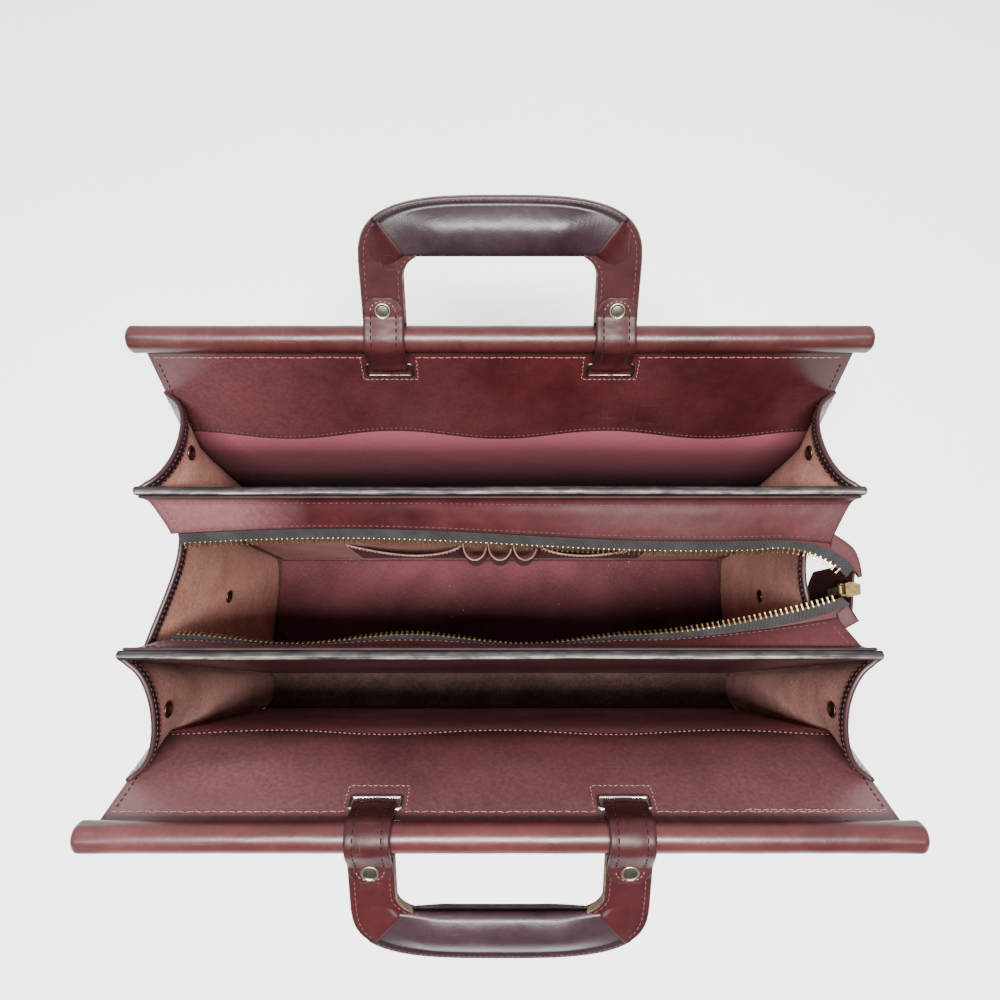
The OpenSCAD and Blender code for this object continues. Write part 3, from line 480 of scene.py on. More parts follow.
tape_cloth = woven_tape("tape_cloth", (0.0220, 0.0205, 0.0215), (0.0135, 0.0125, 0.0130))
brass = metal("brass", (0.40, 0.285, 0.125), (0.14, 0.092, 0.04), 0.34)
old_brass = metal("old_brass", (0.20, 0.135, 0.055), (0.06, 0.038, 0.018), 0.34, 0.8)
pale_brass = metal("pale_brass", (0.34, 0.30, 0.20), (0.15, 0.13, 0.085), 0.3)
bronze = metal("bronze", (0.13, 0.115, 0.09), (0.030, 0.027, 0.022), 0.34, 0.8)
snap_metal = metal("snap_metal", (0.16, 0.090, 0.062), (0.045, 0.024, 0.018), 0.32, 0.7)
chrome = metal("chrome", (0.74, 0.72, 0.70), (0.30, 0.28, 0.26), 0.18, 0.35)
steel = metal("steel", (0.48, 0.47, 0.45), (0.24, 0.22, 0.20), 0.35)
card = fibre_board("fibre_board", (0.26, 0.20, 0.14), (0.14, 0.10, 0.07))


# Meshes
def make(name, points, faces, where, materials, uvs=None, kinds=None, marks=None, smooth=True):
    """Makes a piece from points in millimetres and hangs it on its body; a piece on a fold is baked in place."""
    mesh = bpy.data.meshes.new(name)
    mesh.from_pydata([tuple(c * MM for c in p) for p in points], [], [tuple(f) for f in faces])
    obj = bpy.data.objects.new(name, mesh)
    scene.collection.objects.link(obj)
    for mat in materials:
        mesh.materials.append(mat)
    if kinds is not None:
        mesh.polygons.foreach_set("material_index", np.asarray(kinds, dtype=np.int32))
    if uvs is not None:
        layer = mesh.uv_layers.new(name="metres")
        corner_points = np.zeros(len(mesh.loops), dtype=np.int32)
        mesh.loops.foreach_get("vertex_index", corner_points)
        layer.data.foreach_set("uv", (np.asarray(uvs, float)[corner_points] * MM).ravel())
    for key in ("edge", "worn", "haze"):
        attribute = mesh.attributes.new(key, "FLOAT", "POINT")
        values = (marks or {}).get(key, np.zeros(len(points)))
        attribute.data.foreach_set("value", np.asarray(values, np.float32))
    if smooth:
        mesh.shade_smooth()
    mesh.update()
    attach(obj, where)
    return obj


def tube_faces(rings, around, base=0):
    """Faces between rings of points that follow each other."""
    return [(base + k * around + m, base + k * around + (m + 1) % around,
             base + (k + 1) * around + (m + 1) % around, base + (k + 1) * around + m)
            for k in range(rings - 1) for m in range(around)]


def caps(rings, around, base=0):
    """Faces that close both ends of such a tube."""
    last = base + (rings - 1) * around
    return [tuple(range(base, base + around))[::-1], tuple(range(last, last + around))]


def turned(profile, centre, axis, around=32):
    """Points and faces of a turned shape, from rows of radius and height along the axis."""
    one = axis.orthogonal().normalized()
    two = axis.cross(one)
    points = [centre + axis * h + (one * math.cos(t) + two * math.sin(t)) * max(r, 0.02)
              for r, h in profile for t in ring_angles(around)]
    return points, tube_faces(len(profile), around)


def outward(obj):
    """Turns the faces of closed shells outward."""
    bm = bmesh.new()
    bm.from_mesh(obj.data)
    bmesh.ops.recalc_face_normals(bm, faces=bm.faces)
    bm.to_mesh(obj.data)
    bm.free()
    return obj


def unit(v):
    return v / np.maximum(np.linalg.norm(v, axis=-1, keepdims=True), 1e-9)


def grid_normals(g):
    return unit(np.cross(np.gradient(g, axis=1), np.gradient(g, axis=0)))


def lengths(line):
    """Length along a line at each of its points."""
    return np.concatenate([[0], np.cumsum(np.linalg.norm(np.diff(line, axis=0), axis=1))])


def flipped(grid):
    return [row[::-1] for row in grid]


def edge_rows(g, inset):
    """Adds a line of points just inside every border, so that a rounded rim stays tight."""
    for axis in (0, 1):
        g = np.swapaxes(g, 0, axis)
        for _ in range(2):
            gap = np.linalg.norm(g[1] - g[0], axis=-1).mean()
            if gap > 1.6 * inset:
                g = np.insert(g, 1, g[0] + (g[1] - g[0]) * inset / gap, axis=0)
            g = g[::-1]
        g = np.swapaxes(g, 0, axis)
    return g


def sheet(name, grid, t, where, skin, rear=None, rim=None, swell=0.5, steps=4, edge_reach=2.5, edge_dark=0.8,
          haze=None):
    """Closes a grid of middle points into a skin of thickness t with a rounded rim."""
    r = t / 2 * swell
    full = edge_rows(np.asarray(grid, float), r + 0.35)
    rows, cols = full.shape[:2]
    n = grid_normals(full)
    border = ([(0, j) for j in range(cols - 1)] + [(i, cols - 1) for i in range(rows - 1)]
              + [(rows - 1, j) for j in range(cols - 1, 0, -1)] + [(i, 0) for i in range(rows - 1, 0, -1)])
    out = np.zeros_like(full)
    out[0] += unit(full[0] - full[1])
    out[-1] += unit(full[-1] - full[-2])
    out[:, 0] += unit(full[:, 0] - full[:, 1])
    out[:, -1] += unit(full[:, -1] - full[:, -2])
    out = unit(out)
    inner = full - out * r
    points = [*(inner + n * (t / 2)).reshape(-1, 3), *(inner - n * (t / 2)).reshape(-1, 3)]
    u = np.concatenate([[0], np.cumsum(np.linalg.norm(np.diff(full, axis=1), axis=-1).mean(axis=0))])
    v = np.concatenate([[0], np.cumsum(np.linalg.norm(np.diff(full, axis=0), axis=-1).mean(axis=1))])
    uv = np.stack(np.broadcast_arrays(u[None, :], v[:, None]), axis=-1).reshape(-1, 2)
    away = np.minimum(np.minimum(u[None, :], u[-1] - u[None, :]), np.minimum(v[:, None], v[-1] - v[:, None]))
    edge = (edge_dark * np.exp(-(away / edge_reach) ** 1.5)).reshape(-1)
    uvs = [*uv, *uv]
    edges = [*edge, *edge]
    worn = [0.0] * len(edges)

    def at(i, j, side=0):
        return i * cols + j + side * rows * cols

    faces = []
    for i in range(rows - 1):
        for j in range(cols - 1):
            faces.append((at(i, j), at(i + 1, j), at(i + 1, j + 1), at(i, j + 1)))
            faces.append((at(i, j, 1), at(i, j + 1, 1), at(i + 1, j + 1, 1), at(i + 1, j, 1)))
    kinds = [0, 1] * (len(faces) // 2)
    rings = [[at(i, j) for i, j in border]]
    for k in range(1, steps):
        a = math.pi * k / steps
        rings.append(list(range(len(points), len(points) + len(border))))
        for i, j in border:
            points.append(inner[i, j] + n[i, j] * (t / 2) * math.cos(a) + out[i, j] * r * math.sin(a))
            uvs.append(uv[i * cols + j])
        edges += [1.0] * len(border)
        worn += [math.sin(a) ** 3] * len(border)
    rings.append([at(i, j, 1) for i, j in border])
    for ring, after in zip(rings, rings[1:]):
        faces += zip(ring, ring[1:] + ring[:1], after[1:] + after[:1], after)
    kinds += [2] * (len(faces) - len(kinds))
    marks = {"edge": edges, "worn": worn}
    if haze is not None:
        marks["haze"] = [haze(*p) for p in points]
    return make(name, points, faces, where, [skin, rear or skin, rim or brown_edge], uvs, kinds, marks)


class Stitches:
    """Thread laid on the pieces, one mesh for each body and colour."""

    def __init__(self):
        self.sets = {}

    def one(self, key, p, q, up, r, lift):
        points, faces, uvs = self.sets.setdefault(key, ([], [], []))
        along = (q - p).normalized()
        side = along.cross(up).normalized()
        base, around = len(points), 5
        rings = ((0, -0.8, 0.5), (0.16, 0.35, 0.95), (0.5, 1.0, 1.0), (0.84, 0.35, 0.95), (1, -0.8, 0.5))
        for share, height, width in rings:
            c = p.lerp(q, share) + up * (lift * height)
            for m, a in enumerate(ring_angles(around)):
                points.append(c + (side * math.cos(a) + up * math.sin(a)) * (r * width))
                uvs.append((share, m / around))
        faces += tube_faces(len(rings), around, base) + caps(len(rings), around, base)

    def row(self, key, path, ups, pitch=3.3, length=2.5, r=0.28, lift=0.22, zigzag=0.0, start=0.0, keep=None):
        """Lays stitches along a path; ups are the directions that face out of the surface, or one for all."""
        path = [Vector(p) for p in path]
        ups = [Vector(u) for u in ups] if isinstance(ups, list) else [Vector(ups)] * len(path)
        reach = [0.0]
        for a, b in zip(path, path[1:]):
            reach.append(reach[-1] + (b - a).length)

        def spot(d):
            k = 0
            while k < len(reach) - 2 and reach[k + 1] < d:
                k += 1
            t = clamp((d - reach[k]) / max(1e-6, reach[k + 1] - reach[k]))
            return path[k].lerp(path[k + 1], t), ups[k].lerp(ups[k + 1], t), (path[k + 1] - path[k]).normalized()

        d, turn = start, 1
        while d + length <= reach[-1] + 1e-6:
            p, up, along = spot(d)
            q = spot(d + length)[0]
            if keep is None or keep((p + q) / 2):
                side = along.cross(up).normalized() * zigzag * turn
                self.one(key, p - side, q + side, up.normalized(), r, lift)
            turn = -turn
            d += pitch

    def build(self):
        for (where, colour), (points, faces, uvs) in self.sets.items():
            make("thread_%s_%s" % (where, colour), points, faces, where, [threads[colour]], uvs)


stitches = Stitches()


# Walls
def band_edge(wall, x):
    """Length up the wall of the band's scalloped lower edge."""
    drop = 3.5 * math.cos(math.radians(360 * 3 * x / 416))
    return wall_len - wall.band_h - drop / math.cos(wall.turn(wall_len - wall.band_h))


def wall_shell(wall):
    """A wall's outer hide, with its rod sleeve and foot bead, its lining cloth and its band."""
    name = wall.name
    seed = wall.pick(3, 5)
    xs = span(-half_w, half_w, 90)
    stops = span(layer_foot, bend_start, 26)[:-1] + span(bend_start, into_sleeve, 30)

    def bow(x, s):
        edge = min(1.0, (half_w - abs(x)) / 40) * min(1.0, (wall_len - 12 - s) / 40, s / 30)
        return edge * (0.5 * ripple(x, s, 70, seed) + 0.25 * ripple(x, s, 23, seed + 1))

    grid = [[wall.point(x, s, (n_board + n_out) / 2 + bow(x, s)) for x in xs] for s in stops]
    shell = sheet(name + "_wall_hide", wall.pick(grid, flipped(grid)), leather_t, wall.body, burgundy,
                  rear=burgundy_flesh)
    sleeve = rod_sleeve(wall)
    bead_roll(wall)
    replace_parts(shell, name + "_wall_leather")
    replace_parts(sleeve, name + "_rod_caps")

    seed += 10
    xs = span(-half_w + 1, half_w - 1, 90)[::-wall.side]
    cloth_top = wall_len - wall.band_h

    def sag(x, s):
        edge = min(1.0, (half_w - 1 - abs(x)) / 30) * min(1.0, s / 30) * clamp((cloth_top + 6 - s) / 25)
        return edge * (0.8 + 0.8 * ripple(x * 0.55, s, 45, seed) + 0.25 * ripple(x, s, 16, seed))

    grid = [[wall.point(x, s, -(n_board + n_lining) / 2 - max(0.0, sag(x, s))) for x in xs]
            for s in span(layer_foot, layer_top, 46)]
    low_z, high_z = wall.at(105)[1], wall.at(cloth_top)[1]

    # Painted light and shade: the lining is bright near the band and darker towards the bottom of its compartment
    def painted_depth_shade(x, y, z):
        return clamp((z - low_z) / (high_z - low_z)) ** 1.6

    skin = wall.pick(back_lining, front_lining)
    cloth = sheet(name + "_wall_cloth", grid, cloth_t, wall.body, skin, rim=skin, edge_dark=0.2,
                  haze=painted_depth_shade)
    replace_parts(cloth, name + "_wall_lining")
    wall_band(wall)


def rod_sleeve(wall):
    """Leather rolled round the rod and closed at both ends, with small gathers at the caps."""
    y0, z0 = wall.rod()
    end = sleeve_end + cap_len
    rim = 3.2
    half = [(-end + 0.02, 0.6), (-end, rod_r - rim)]
    for k in range(1, 7):
        a = math.pi / 2 * k / 6
        half.append((-end + rim * (1 - math.cos(a)), rod_r - rim + rim * math.sin(a)))
    half += [(x, rod_r) for x in span(-end + rim + 1, 0, 60)]
    profile = half + [(-x, r) for x, r in half[-2::-1]]
    around = 40
    points, uvs, edges = [], [], []
    seed = wall.pick(21, 27)
    for x, r in profile:
        near_end = max(0.0, 1 - (end - abs(x)) / 26)
        for a in ring_angles(around):
            gather = 0.35 * near_end * math.sin(7 * a + seed) * min(1.0, (end - abs(x)) / 3)
            wander = 0.18 * ripple(x, 9 * math.cos(a) + 9 * math.sin(a), 14, seed)
            rr = max(0.3, r + (gather - 0.25 + wander if r > rod_r - rim + 0.1 else 0))
            points.append((x, y0 + rr * math.cos(a), z0 + rr * math.sin(a)))
            uvs.append((x, rr * a))
            edges.append(0.45 * near_end ** 2)
    return make(wall.name + "_rod_sleeve", points, tube_faces(len(profile), around) + caps(len(profile), around),
                wall.body, [wall.pick(back_roll, front_roll)], uvs, None, {"edge": edges})


def bead_roll(wall):
    """Rolled leather seam along the foot of a wall."""
    points, uvs = [], []
    xs = [-half_w] + span(-half_w + 0.6, half_w - 0.6, 70) + [half_w]
    around = 22
    for x in xs:
        r = bead_r - (0.6 if abs(x) == half_w else 0) + 0.08 * ripple(x, 0, 9, 31 + wall.side)
        for a in ring_angles(around):
            points.append((x, wall.foot_y + r * math.cos(a), pivot_z + r * math.sin(a)))
            uvs.append((x, r * a))
    marks = {"edge": [0.5 if abs(p[0]) > half_w - 1 else 0.15 for p in points]}
    make(wall.name + "_bead", points, tube_faces(len(xs), around) + caps(len(xs), around), wall.body, [burgundy],
         uvs, None, marks)


def wall_band(wall):
    """Leather band inside the top of a wall, with its scalloped and stitched lower edge."""
    name = wall.name
    seed = wall.pick(41, 47)
    top = layer_top - 0.2
    xs = span(-half_w + 1, half_w - 1, 120)[::-wall.side]

    def lift(x, s):
        low = band_edge(wall, x)
        end = ease(min(1.0, (half_w - 1 - abs(x)) / 55))
        broad = 0.9 * ripple(x, s, 60, seed) + 0.35 * ripple(x * 1.3, s * 0.7, 21, seed + 2)
        if wall.side < 0:
            crease = 1.3 * math.exp(-((x + 150 + 0.9 * (s - 235)) / 26) ** 2) * math.exp(-((s - 238) / 26) ** 2)
        else:
            crease = 0.8 * math.exp(-((x - 178 - 0.8 * (s - 245)) / 12) ** 2) * math.exp(-((s - 244) / 22) ** 2)
        taut = clamp((wall_len - 30 - s) / 22)
        return end * taut * math.sin(math.pi * clamp((s - low) / (top - low))) * (0.35 + 0.6 * broad + crease)

    def mid(x, s):
        return wall.point(x, s, -(n_lining + n_band) / 2 - max(0.0, lift(x, s)))

    grid = [[mid(x, band_edge(wall, x) * (1 - share) + top * share) for x in xs] for share in span(0, 1, 30)]
    grid.append([mid(x, into_sleeve) for x in xs])

    # Painted sheen: the back band is paler towards its left end; the front band is paler overall, and more so towards
    # its top and its ends, most at the left
    def bloom_and_painted_sheen(x, y, z):
        if wall.side > 0:
            return 0.5 * clamp((-60 - x) / 120)
        up = clamp((z - wall.at(wall_len - wall.band_h)[1]) / 55)
        return 0.22 + 0.52 * up + 0.5 * clamp((-70 - x) / 90) + 0.15 * clamp((x - 60) / 80)

    band = sheet(name + "_band", grid, band_t, wall.body, burgundy, swell=0.6, haze=bloom_and_painted_sheen)
    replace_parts(band, name + "_wall_band")

    def sew(colour, places, above=0.0, **how):
        """Stitches along (x, s) places on the band's face, or a little above them."""
        path = [mid(x, s + above) + wall.inward(s + above) * (band_t / 2) for x, s in places]
        stitches.row((wall.body, colour), path, [wall.inward(s) for x, s in places], **how)

    line = span(-half_w + 4, half_w - 4, 160)
    sew(wall.pick("hem", "pale"), [(x, band_edge(wall, x)) for x in line], 2.6, pitch=3.1, length=2.1, r=0.24,
        lift=0.18)
    seam = wall_len - wall.pick(11.2, 14.5)
    patch_w = 33.0
    patch_low = wall_len - wall.pick(28.5, 34.5)

    def clear_of_patches(p):
        return all(abs(p.x - side * strap_gap / 2) > patch_w / 2 for side in SIDES)

    def in_doubled_part(p):
        return clear_of_patches(p) and p.x > 128

    for shift, keep in ((0.0, clear_of_patches), (1.5, in_doubled_part))[:wall.pick(1, 2)]:
        sew("pale", [(x, seam + 0.4 * ripple(x, 0, 11, seed) - shift) for x in line], pitch=4.4, length=4.0, r=0.25,
            zigzag=wall.pick(0.15, 0.42), start=2.1 * shift, keep=keep)
    for side in SIDES:
        run = span(wall_len - wall.band_h + 34, seam - 2, 30)
        sew("dark", [(side * (half_w - 5.5), s) for s in run], pitch=4.2, length=2.6, r=0.36)
    for side in SIDES:
        x0, x1 = (side * strap_gap / 2 + half * patch_w / 2 for half in SIDES)
        patch = [(x0, seam)] + [(x0, s) for s in span(seam, patch_low, 5)] + [(x, patch_low) for x in span(x0, x1, 8)]
        sew("pale", patch + [(x1, s) for s in span(patch_low, seam, 5)], pitch=3.0, length=2.4, r=0.24,
            zigzag=0.3)


def slot_frames(wall):
    """Rounded metal frames of a wall's two strap slots, lying on the band."""
    rim, corner, across = 2.2, 1.4, 12
    half = ((strap_w + 2 + rim) / 2, (6.6 + rim) / 2)
    points, faces = [], []
    for side in SIDES:
        base = len(points)
        for quarter, (cx, cs) in enumerate(((1, 1), (-1, 1), (-1, -1), (1, -1))):
            for k in range(6):
                a = math.pi / 2 * (quarter + k / 5)
                x = side * strap_gap / 2 + cx * (half[0] - corner) + corner * math.cos(a)
                s = wall_len - slot_drop + cs * (half[1] - corner) + corner * math.sin(a)
                for t in ring_angles(across):
                    off = rim / 2 * math.cos(t)
                    high = math.sin(t) * (0.95 if math.sin(t) > 0 else 0.2)
                    points.append(wall.point(x + off * math.cos(a), s + off * math.sin(a), -n_band - high))
        count = (len(points) - base) // across
        for k in range(count):
            for m in range(across):
                a, b = base + k * across, base + (k + 1) % count * across
                faces.append((a + m, b + m, b + (m + 1) % across, a + (m + 1) % across))
    frames = make(wall.name + "_slot_frames", points, faces, wall.body, [wall.pick(bronze, chrome)],
                  [(p[0], p[2]) for p in points])
    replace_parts(outward(frames), wall.name + "_slot_plates")


for wall in (back, front):
    slot_frames(wall)
    wall_shell(wall)


# Dividers: leather folded over a board, its top edge painted dark, with pale streaks that are partly rubbed wear and
# partly a painted highlight
def at_back_divider(x, across, z):
    return Vector((x, back_divider_y + across, base_top + z))


def at_front_divider(x, across, z):
    y = across * math.cos(front_lean) + z * math.sin(front_lean)
    up = z * math.cos(front_lean) - across * math.sin(front_lean)
    return Vector((x, -front_divider_y + y, base_top - 0.2 + up))


def divider_hide(name, place, seed):
    def mid(x, z):
        rise = 0.35 * ripple(x, 0, 34, seed) if z > 270 else 0.0
        bow = 0.5 * ripple(x, z, 80, seed + 1) * min(1.0, (half_w - abs(x)) / 30) * min(1.0, z / 60)
        return place(x, bow, z + rise)

    grid = [[mid(x, z) for x in span(-half_w, half_w, 100)] for z in [0.0] + span(6, 270, 40) + [276.0]]
    hide = sheet(name + "_divider_hide", grid, divider_t, "case", burgundy, rim=paint, swell=0.7,
                 steps=8)
    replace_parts(hide, name + "_divider_leather")


def divider_cloth(name, place, face):
    grid = [[place(x, face * (divider_t / 2 + cloth_t / 2 + max(0, 0.3 * ripple(x, z, 40, 61 + face))), z)
             for x in span(-half_w + 10, half_w - 10, 70)[::-face]] for z in span(6, 250, 40)]
    cloth = sheet(name + "_divider_cloth", grid, cloth_t, "case", lining, rim=lining, edge_dark=0.2)
    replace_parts(cloth, name + "_divider_lining")


divider_hide("back", at_back_divider, 51)
divider_hide("front", at_front_divider, 57)
divider_cloth("back", at_back_divider, -1)
divider_cloth("front", at_front_divider, 1)


# Gussets: rows that fold inward, from an edge at the back to an edge at the front
fold_clear = 0.5
outer_top = wall_len - 40
foot_fold = 5.0
hem_h = 8.5


def gusset_point(b, e, fold, skew, a, d):
    slope = fold * (math.cos(a) * (1 - skew + skew * math.cos(a)) - skew * math.sin(a) ** 2)
    along = (-slope, (e[0] - b[0]) / 2 * math.sin(a))
    size = math.hypot(*along)
    n = (along[1] / size, -along[0] / size)
    share = (1 - math.cos(a)) / 2
    inward = fold * math.sin(a) * (1 - skew + skew * math.cos(a))
    return (half_w - 0.5 - inward + d * n[0], b[0] + (e[0] - b[0]) * share + d * n[1], b[1] + (e[1] - b[1]) * share)


outer_stops = [base_top - pivot_z + 0.2] + span(5, 182, 26) + span(188, outer_top, 14)


def wall_edge(wall):
    """The line beside a wall's inner face that an outer gusset is sewn to."""
    e = wall_len - wall.band_h
    depths = [np.interp(s, (5, 14, e - 14, e - 6), (bead_r, n_lining, n_lining, n_band)) for s in outer_stops]
    return [wall.at(s, -float(depth) - fold_clear - gusset_t / 2) for s, depth in zip(outer_stops, depths)]


row_heights = [base_top + (divider_top - 3 - base_top) * (s - outer_stops[0]) / (outer_top - outer_stops[0])
               for s in outer_stops]
middle_heights = span(base_top, 250, 34)
back_edges = (wall_edge(back), [(back_divider_y + divider_t / 2 + gusset_t / 2, z) for z in row_heights])
front_edges = ([(front_mid(z) - front_half_t - gusset_t / 2, z) for z in row_heights], wall_edge(front))
middle_edges = ([(back_divider_y - divider_t / 2 - gusset_t / 2, z) for z in middle_heights],
                [(front_mid(z) + front_half_t + gusset_t / 2, z) for z in middle_heights])

# A snap from its domed cap outside, along the post through the hide, to the ring inside
SNAP = [(0, -3.7), (1.6, -3.65), (3.2, -3.4), (4.8, -2.9), (5.7, -2.4), (6.0, -2.0), (5.8, -1.4), (4.6, -1.0),
        (2.0, -0.8), (2.0, 0.8), (4.4, 0.9), (4.75, 1.4), (4.6, 1.95), (4.0, 2.3), (3.3, 2.2), (2.8, 1.7),
        (2.3, 1.35), (0, 1.25)]


def gusset(name, edges, fold, side, where, skew=0.0, seed=0, snap_drop=18.0, pucker_size=0.45):
    """A folded side of a compartment: hide outside, suede inside, a doubled hem along its top and a snap."""
    last = len(edges[0]) - 1

    def spot(i, a, d=0.0):
        i0 = min(last - 1, max(0, int(i)))
        b, e = ([edge[i0][m] + (edge[i0 + 1][m] - edge[i0][m]) * (i - i0) for m in (0, 1)] for edge in edges)
        f = foot_fold + (fold - foot_fold) * (i / last) ** 1.2
        x, y, z = gusset_point(b, e, f, skew, a, d)
        pucker = pucker_size * math.sin(a) * ripple(y, z, 22, 70 + seed) * min(1.0, i / last * 3)
        sewn = 2.3 * (max(0.0, 1 - a / 0.3) - max(0.0, 1 - (math.pi - a) / 0.3))
        return Vector((side * (x - pucker), y + sewn, z))

    def facing(rows):
        return flipped(rows) if side > 0 else rows

    rows = [[spot(i, a) for a in span(0, math.pi, 27)] for i in range(last + 1)]
    rows[0] = [p - Vector((0, 0, 1.6)) for p in rows[0]]
    # The sheet's front is the hide outside the bag, and its rear the suede inside
    skin = sheet(name + "_skin", facing(rows), gusset_t, where, burgundy,
                 rear=shaded_suede if where == "front_fold" else suede, rim=tan_edge)
    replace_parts(skin, name)
    top_i = last - 0.02
    heights = [p[1] for p in edges[0]]
    low_i = float(np.interp(heights[-1] - hem_h, heights, range(last + 1)))
    hem_rows = [[spot(i, a) + Vector((0, 0, 0.5 if k == 4 else 0)) for a in span(0, math.pi, 31)]
                for k, i in enumerate(span(low_i, top_i, 5))]
    sheet(name + "_hem", facing(hem_rows), gusset_t + 1.5, where, hem_leather, rim=hem_leather,
          swell=0.8, steps=6, edge_dark=0.35)
    for share in (0.22, 0.75):
        i = low_i + (top_i - low_i) * share
        angles = span(0.12, math.pi - 0.12, 40)
        here = [spot(i, a) for a in angles]
        normals = [(spot(i, a, 1.0) - p).normalized() for a, p in zip(angles, here)]
        for face in (1, -1):
            stitches.row((where, "hem"), [p + n * face * (gusset_t / 2 + 0.75) for p, n in zip(here, normals)],
                         [n * face for n in normals], pitch=3.2, length=2.1, r=0.27)
    fold_z = [spot(i, math.pi / 2)[2] for i in range(last + 1)]
    i = float(np.interp(fold_z[-1] - snap_drop, fold_z, range(last + 1)))
    here = spot(i, math.pi / 2)
    points, faces = turned(SNAP, here, (spot(i, math.pi / 2, 1.0) - here).normalized())
    snap = outward(make(name + "_snap", points, faces, stiff_fold(name + "_snap", where, here), [snap_metal],
                        [(p[1], p[2]) for p in points]))
    if side > 0:
        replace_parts(snap, name.replace("right", "snaps"))


gusset("back_gusset_left", back_edges, 17.0, -1, "back_fold", seed=1)
gusset("back_gusset_right", back_edges, 17.0, 1, "back_fold", seed=2)
gusset("front_gusset_left", front_edges, 17.0, -1, "front_fold", seed=3)
gusset("front_gusset_right", front_edges, 17.0, 1, "front_fold", seed=4)
for side, fold, skew, seed in ((-1, 24.0, 0.45, 5), (1, 27.0, 0.0, 6)):
    gusset("middle_gusset_" + ("left" if side < 0 else "right"), middle_edges, fold, side, "case", skew, seed,
           snap_drop=106.0, pucker_size=0.18)


# Zip
back_swing = band_end - 42
front_swing = band_end - 108
tooth_pitch = 3.0
# A tooth's rows from its legs to its head: place across the tape, half width, half thickness
TOOTH = ((-1.3, 0.50, 0.78), (-1.1, 0.60, 0.92), (0.4, 0.62, 0.86), (0.8, 0.52, 0.66), (1.7, 0.54, 0.62),
         (2.1, 0.66, 0.66), (2.5, 0.62, 0.58), (2.68, 0.42, 0.36))


def tails(*places):
    """Points of the zip's tail, measured from the bands' end and the dividers' top."""
    return [np.array((band_end + x, y, divider_top + z)) for x, y, z in places]


def bezier(p, t):
    return (1 - t) ** 3 * p[0] + 3 * t * (1 - t) ** 2 * p[1] + 3 * t * t * (1 - t) * p[2] + t ** 3 * p[3]


def back_hem_at(x):
    past = max(0.0, (x - back_swing) / (band_end - back_swing))
    wave = 3.8 * math.cos(math.radians(360 * (x + 95) / 420))
    return np.array((x, back_divider_y - divider_t / 2 - 19.9 + wave - 4 * past * past, divider_top - 18 + past))


def front_wave(x):
    return math.cos(math.radians(360 * (x + 52) / 134))


def front_hem_at(x):
    rise = (max(0.0, x - front_swing) / (band_end - front_swing)) ** 1.5
    y = front_mid(divider_top) + front_half_t + 4 + 1.6 * front_wave(min(x, front_swing)) + 12.7 * rise
    return np.array((x, y, divider_top - 20.2 + 3.2 * rise))


def under_back_hem(x):
    return back_hem_at(x) - np.array((0, 5.6, 5))


def under_front_hem(x):
    return front_hem_at(x) + np.array((0, 2.6 + 1.3 * front_wave(x), -5))


def zip_line(at, swing, *ends):
    """Points along a hem, which leave it at the swing for a curve to the tail."""
    line = [at(x) for x in span(4 - band_end, swing, 19)[:-1]]
    return np.array(line + [bezier([at(swing), *tails(*ends)], t) for t in span(0, 1, 9)])


back_teeth_line = zip_line(under_back_hem, back_swing, (-17, 24.5, -21.5), (0, 14, -17), (6, 3.2, -14.8))
front_teeth_line = zip_line(under_front_hem, front_swing, (-72, -26.5, -23.5), (-27, -17, -17), (2.6, -8, -14.7))
back_tape_line = zip_line(back_hem_at, back_swing, (-24, 27.5, -17.7), (6, 23, -16), (11.2, 8.4, -14))
front_tape_line = zip_line(front_hem_at, front_swing, (-70, -30.6, -19.8), (-20, -25, -18), (7, -12.6, -14.7))


def smooth_line(line, count=110):
    """Even points along a line, rounded between its points."""
    line = np.asarray(line, float)
    reach = lengths(line)
    where = np.linspace(0, reach[-1], count)
    out = np.stack([np.interp(where, reach, line[:, c]) for c in range(3)], axis=1)
    for _ in range(2):
        out[1:-1] = 0.25 * out[:-2] + 0.5 * out[1:-1] + 0.25 * out[2:]
    return out


def zip_tape(name, edge, line):
    a, b = smooth_line(edge + 0.3 * unit(line - edge)), smooth_line(line)
    grid = [a + (b - a) * t for t in span(0, 1, 6)]
    if name == "front":
        grid = flipped(grid)
    tape = sheet(name + "_tape_cloth", grid, cloth_t, "case", tape_cloth, rim=tape_cloth, edge_dark=0.0)
    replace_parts(tape, name + "_zip_tape")


def zip_teeth(name, edge, line):
    """Stamped teeth: legs clamped over the tape's cord, a waist and a rounded head, one every pitch."""
    a, b = smooth_line(edge), smooth_line(line)
    reach = lengths(b)
    points, faces = [], []
    for m in range(1, int(reach[-1] / tooth_pitch)):
        at = m * tooth_pitch
        k = int(np.searchsorted(reach, at)) - 1
        t = (at - reach[k]) / (reach[k + 1] - reach[k])
        p = b[k] + (b[k + 1] - b[k]) * t
        d = unit(b[k + 1] - b[k])
        w = p - (a[k] + (a[k + 1] - a[k]) * t)
        w = unit(w - np.dot(w, d) * d)
        n = np.cross(d, w)
        base = len(points)
        for out, half, thick in TOOTH:
            cut = 0.45 * min(half, thick)
            for x, z in ((half, thick - cut), (half - cut, thick), (cut - half, thick), (-half, thick - cut),
                         (-half, cut - thick), (cut - half, -thick), (half - cut, -thick), (half, cut - thick)):
                points.append(p + d * x + w * out + n * z)
        faces += tube_faces(len(TOOTH), 8, base) + caps(len(TOOTH), 8, base)
    teeth = make(name + "_teeth", points, faces, "case", [brass], [(q[0], q[1]) for q in points],
                 smooth=False)
    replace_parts(outward(teeth), name + "_zip_teeth")


zip_tape("back", back_tape_line, back_teeth_line)
zip_tape("front", front_tape_line, front_teeth_line)
zip_teeth("back", back_tape_line, back_teeth_line)
zip_teeth("front", front_tape_line, front_teeth_line)


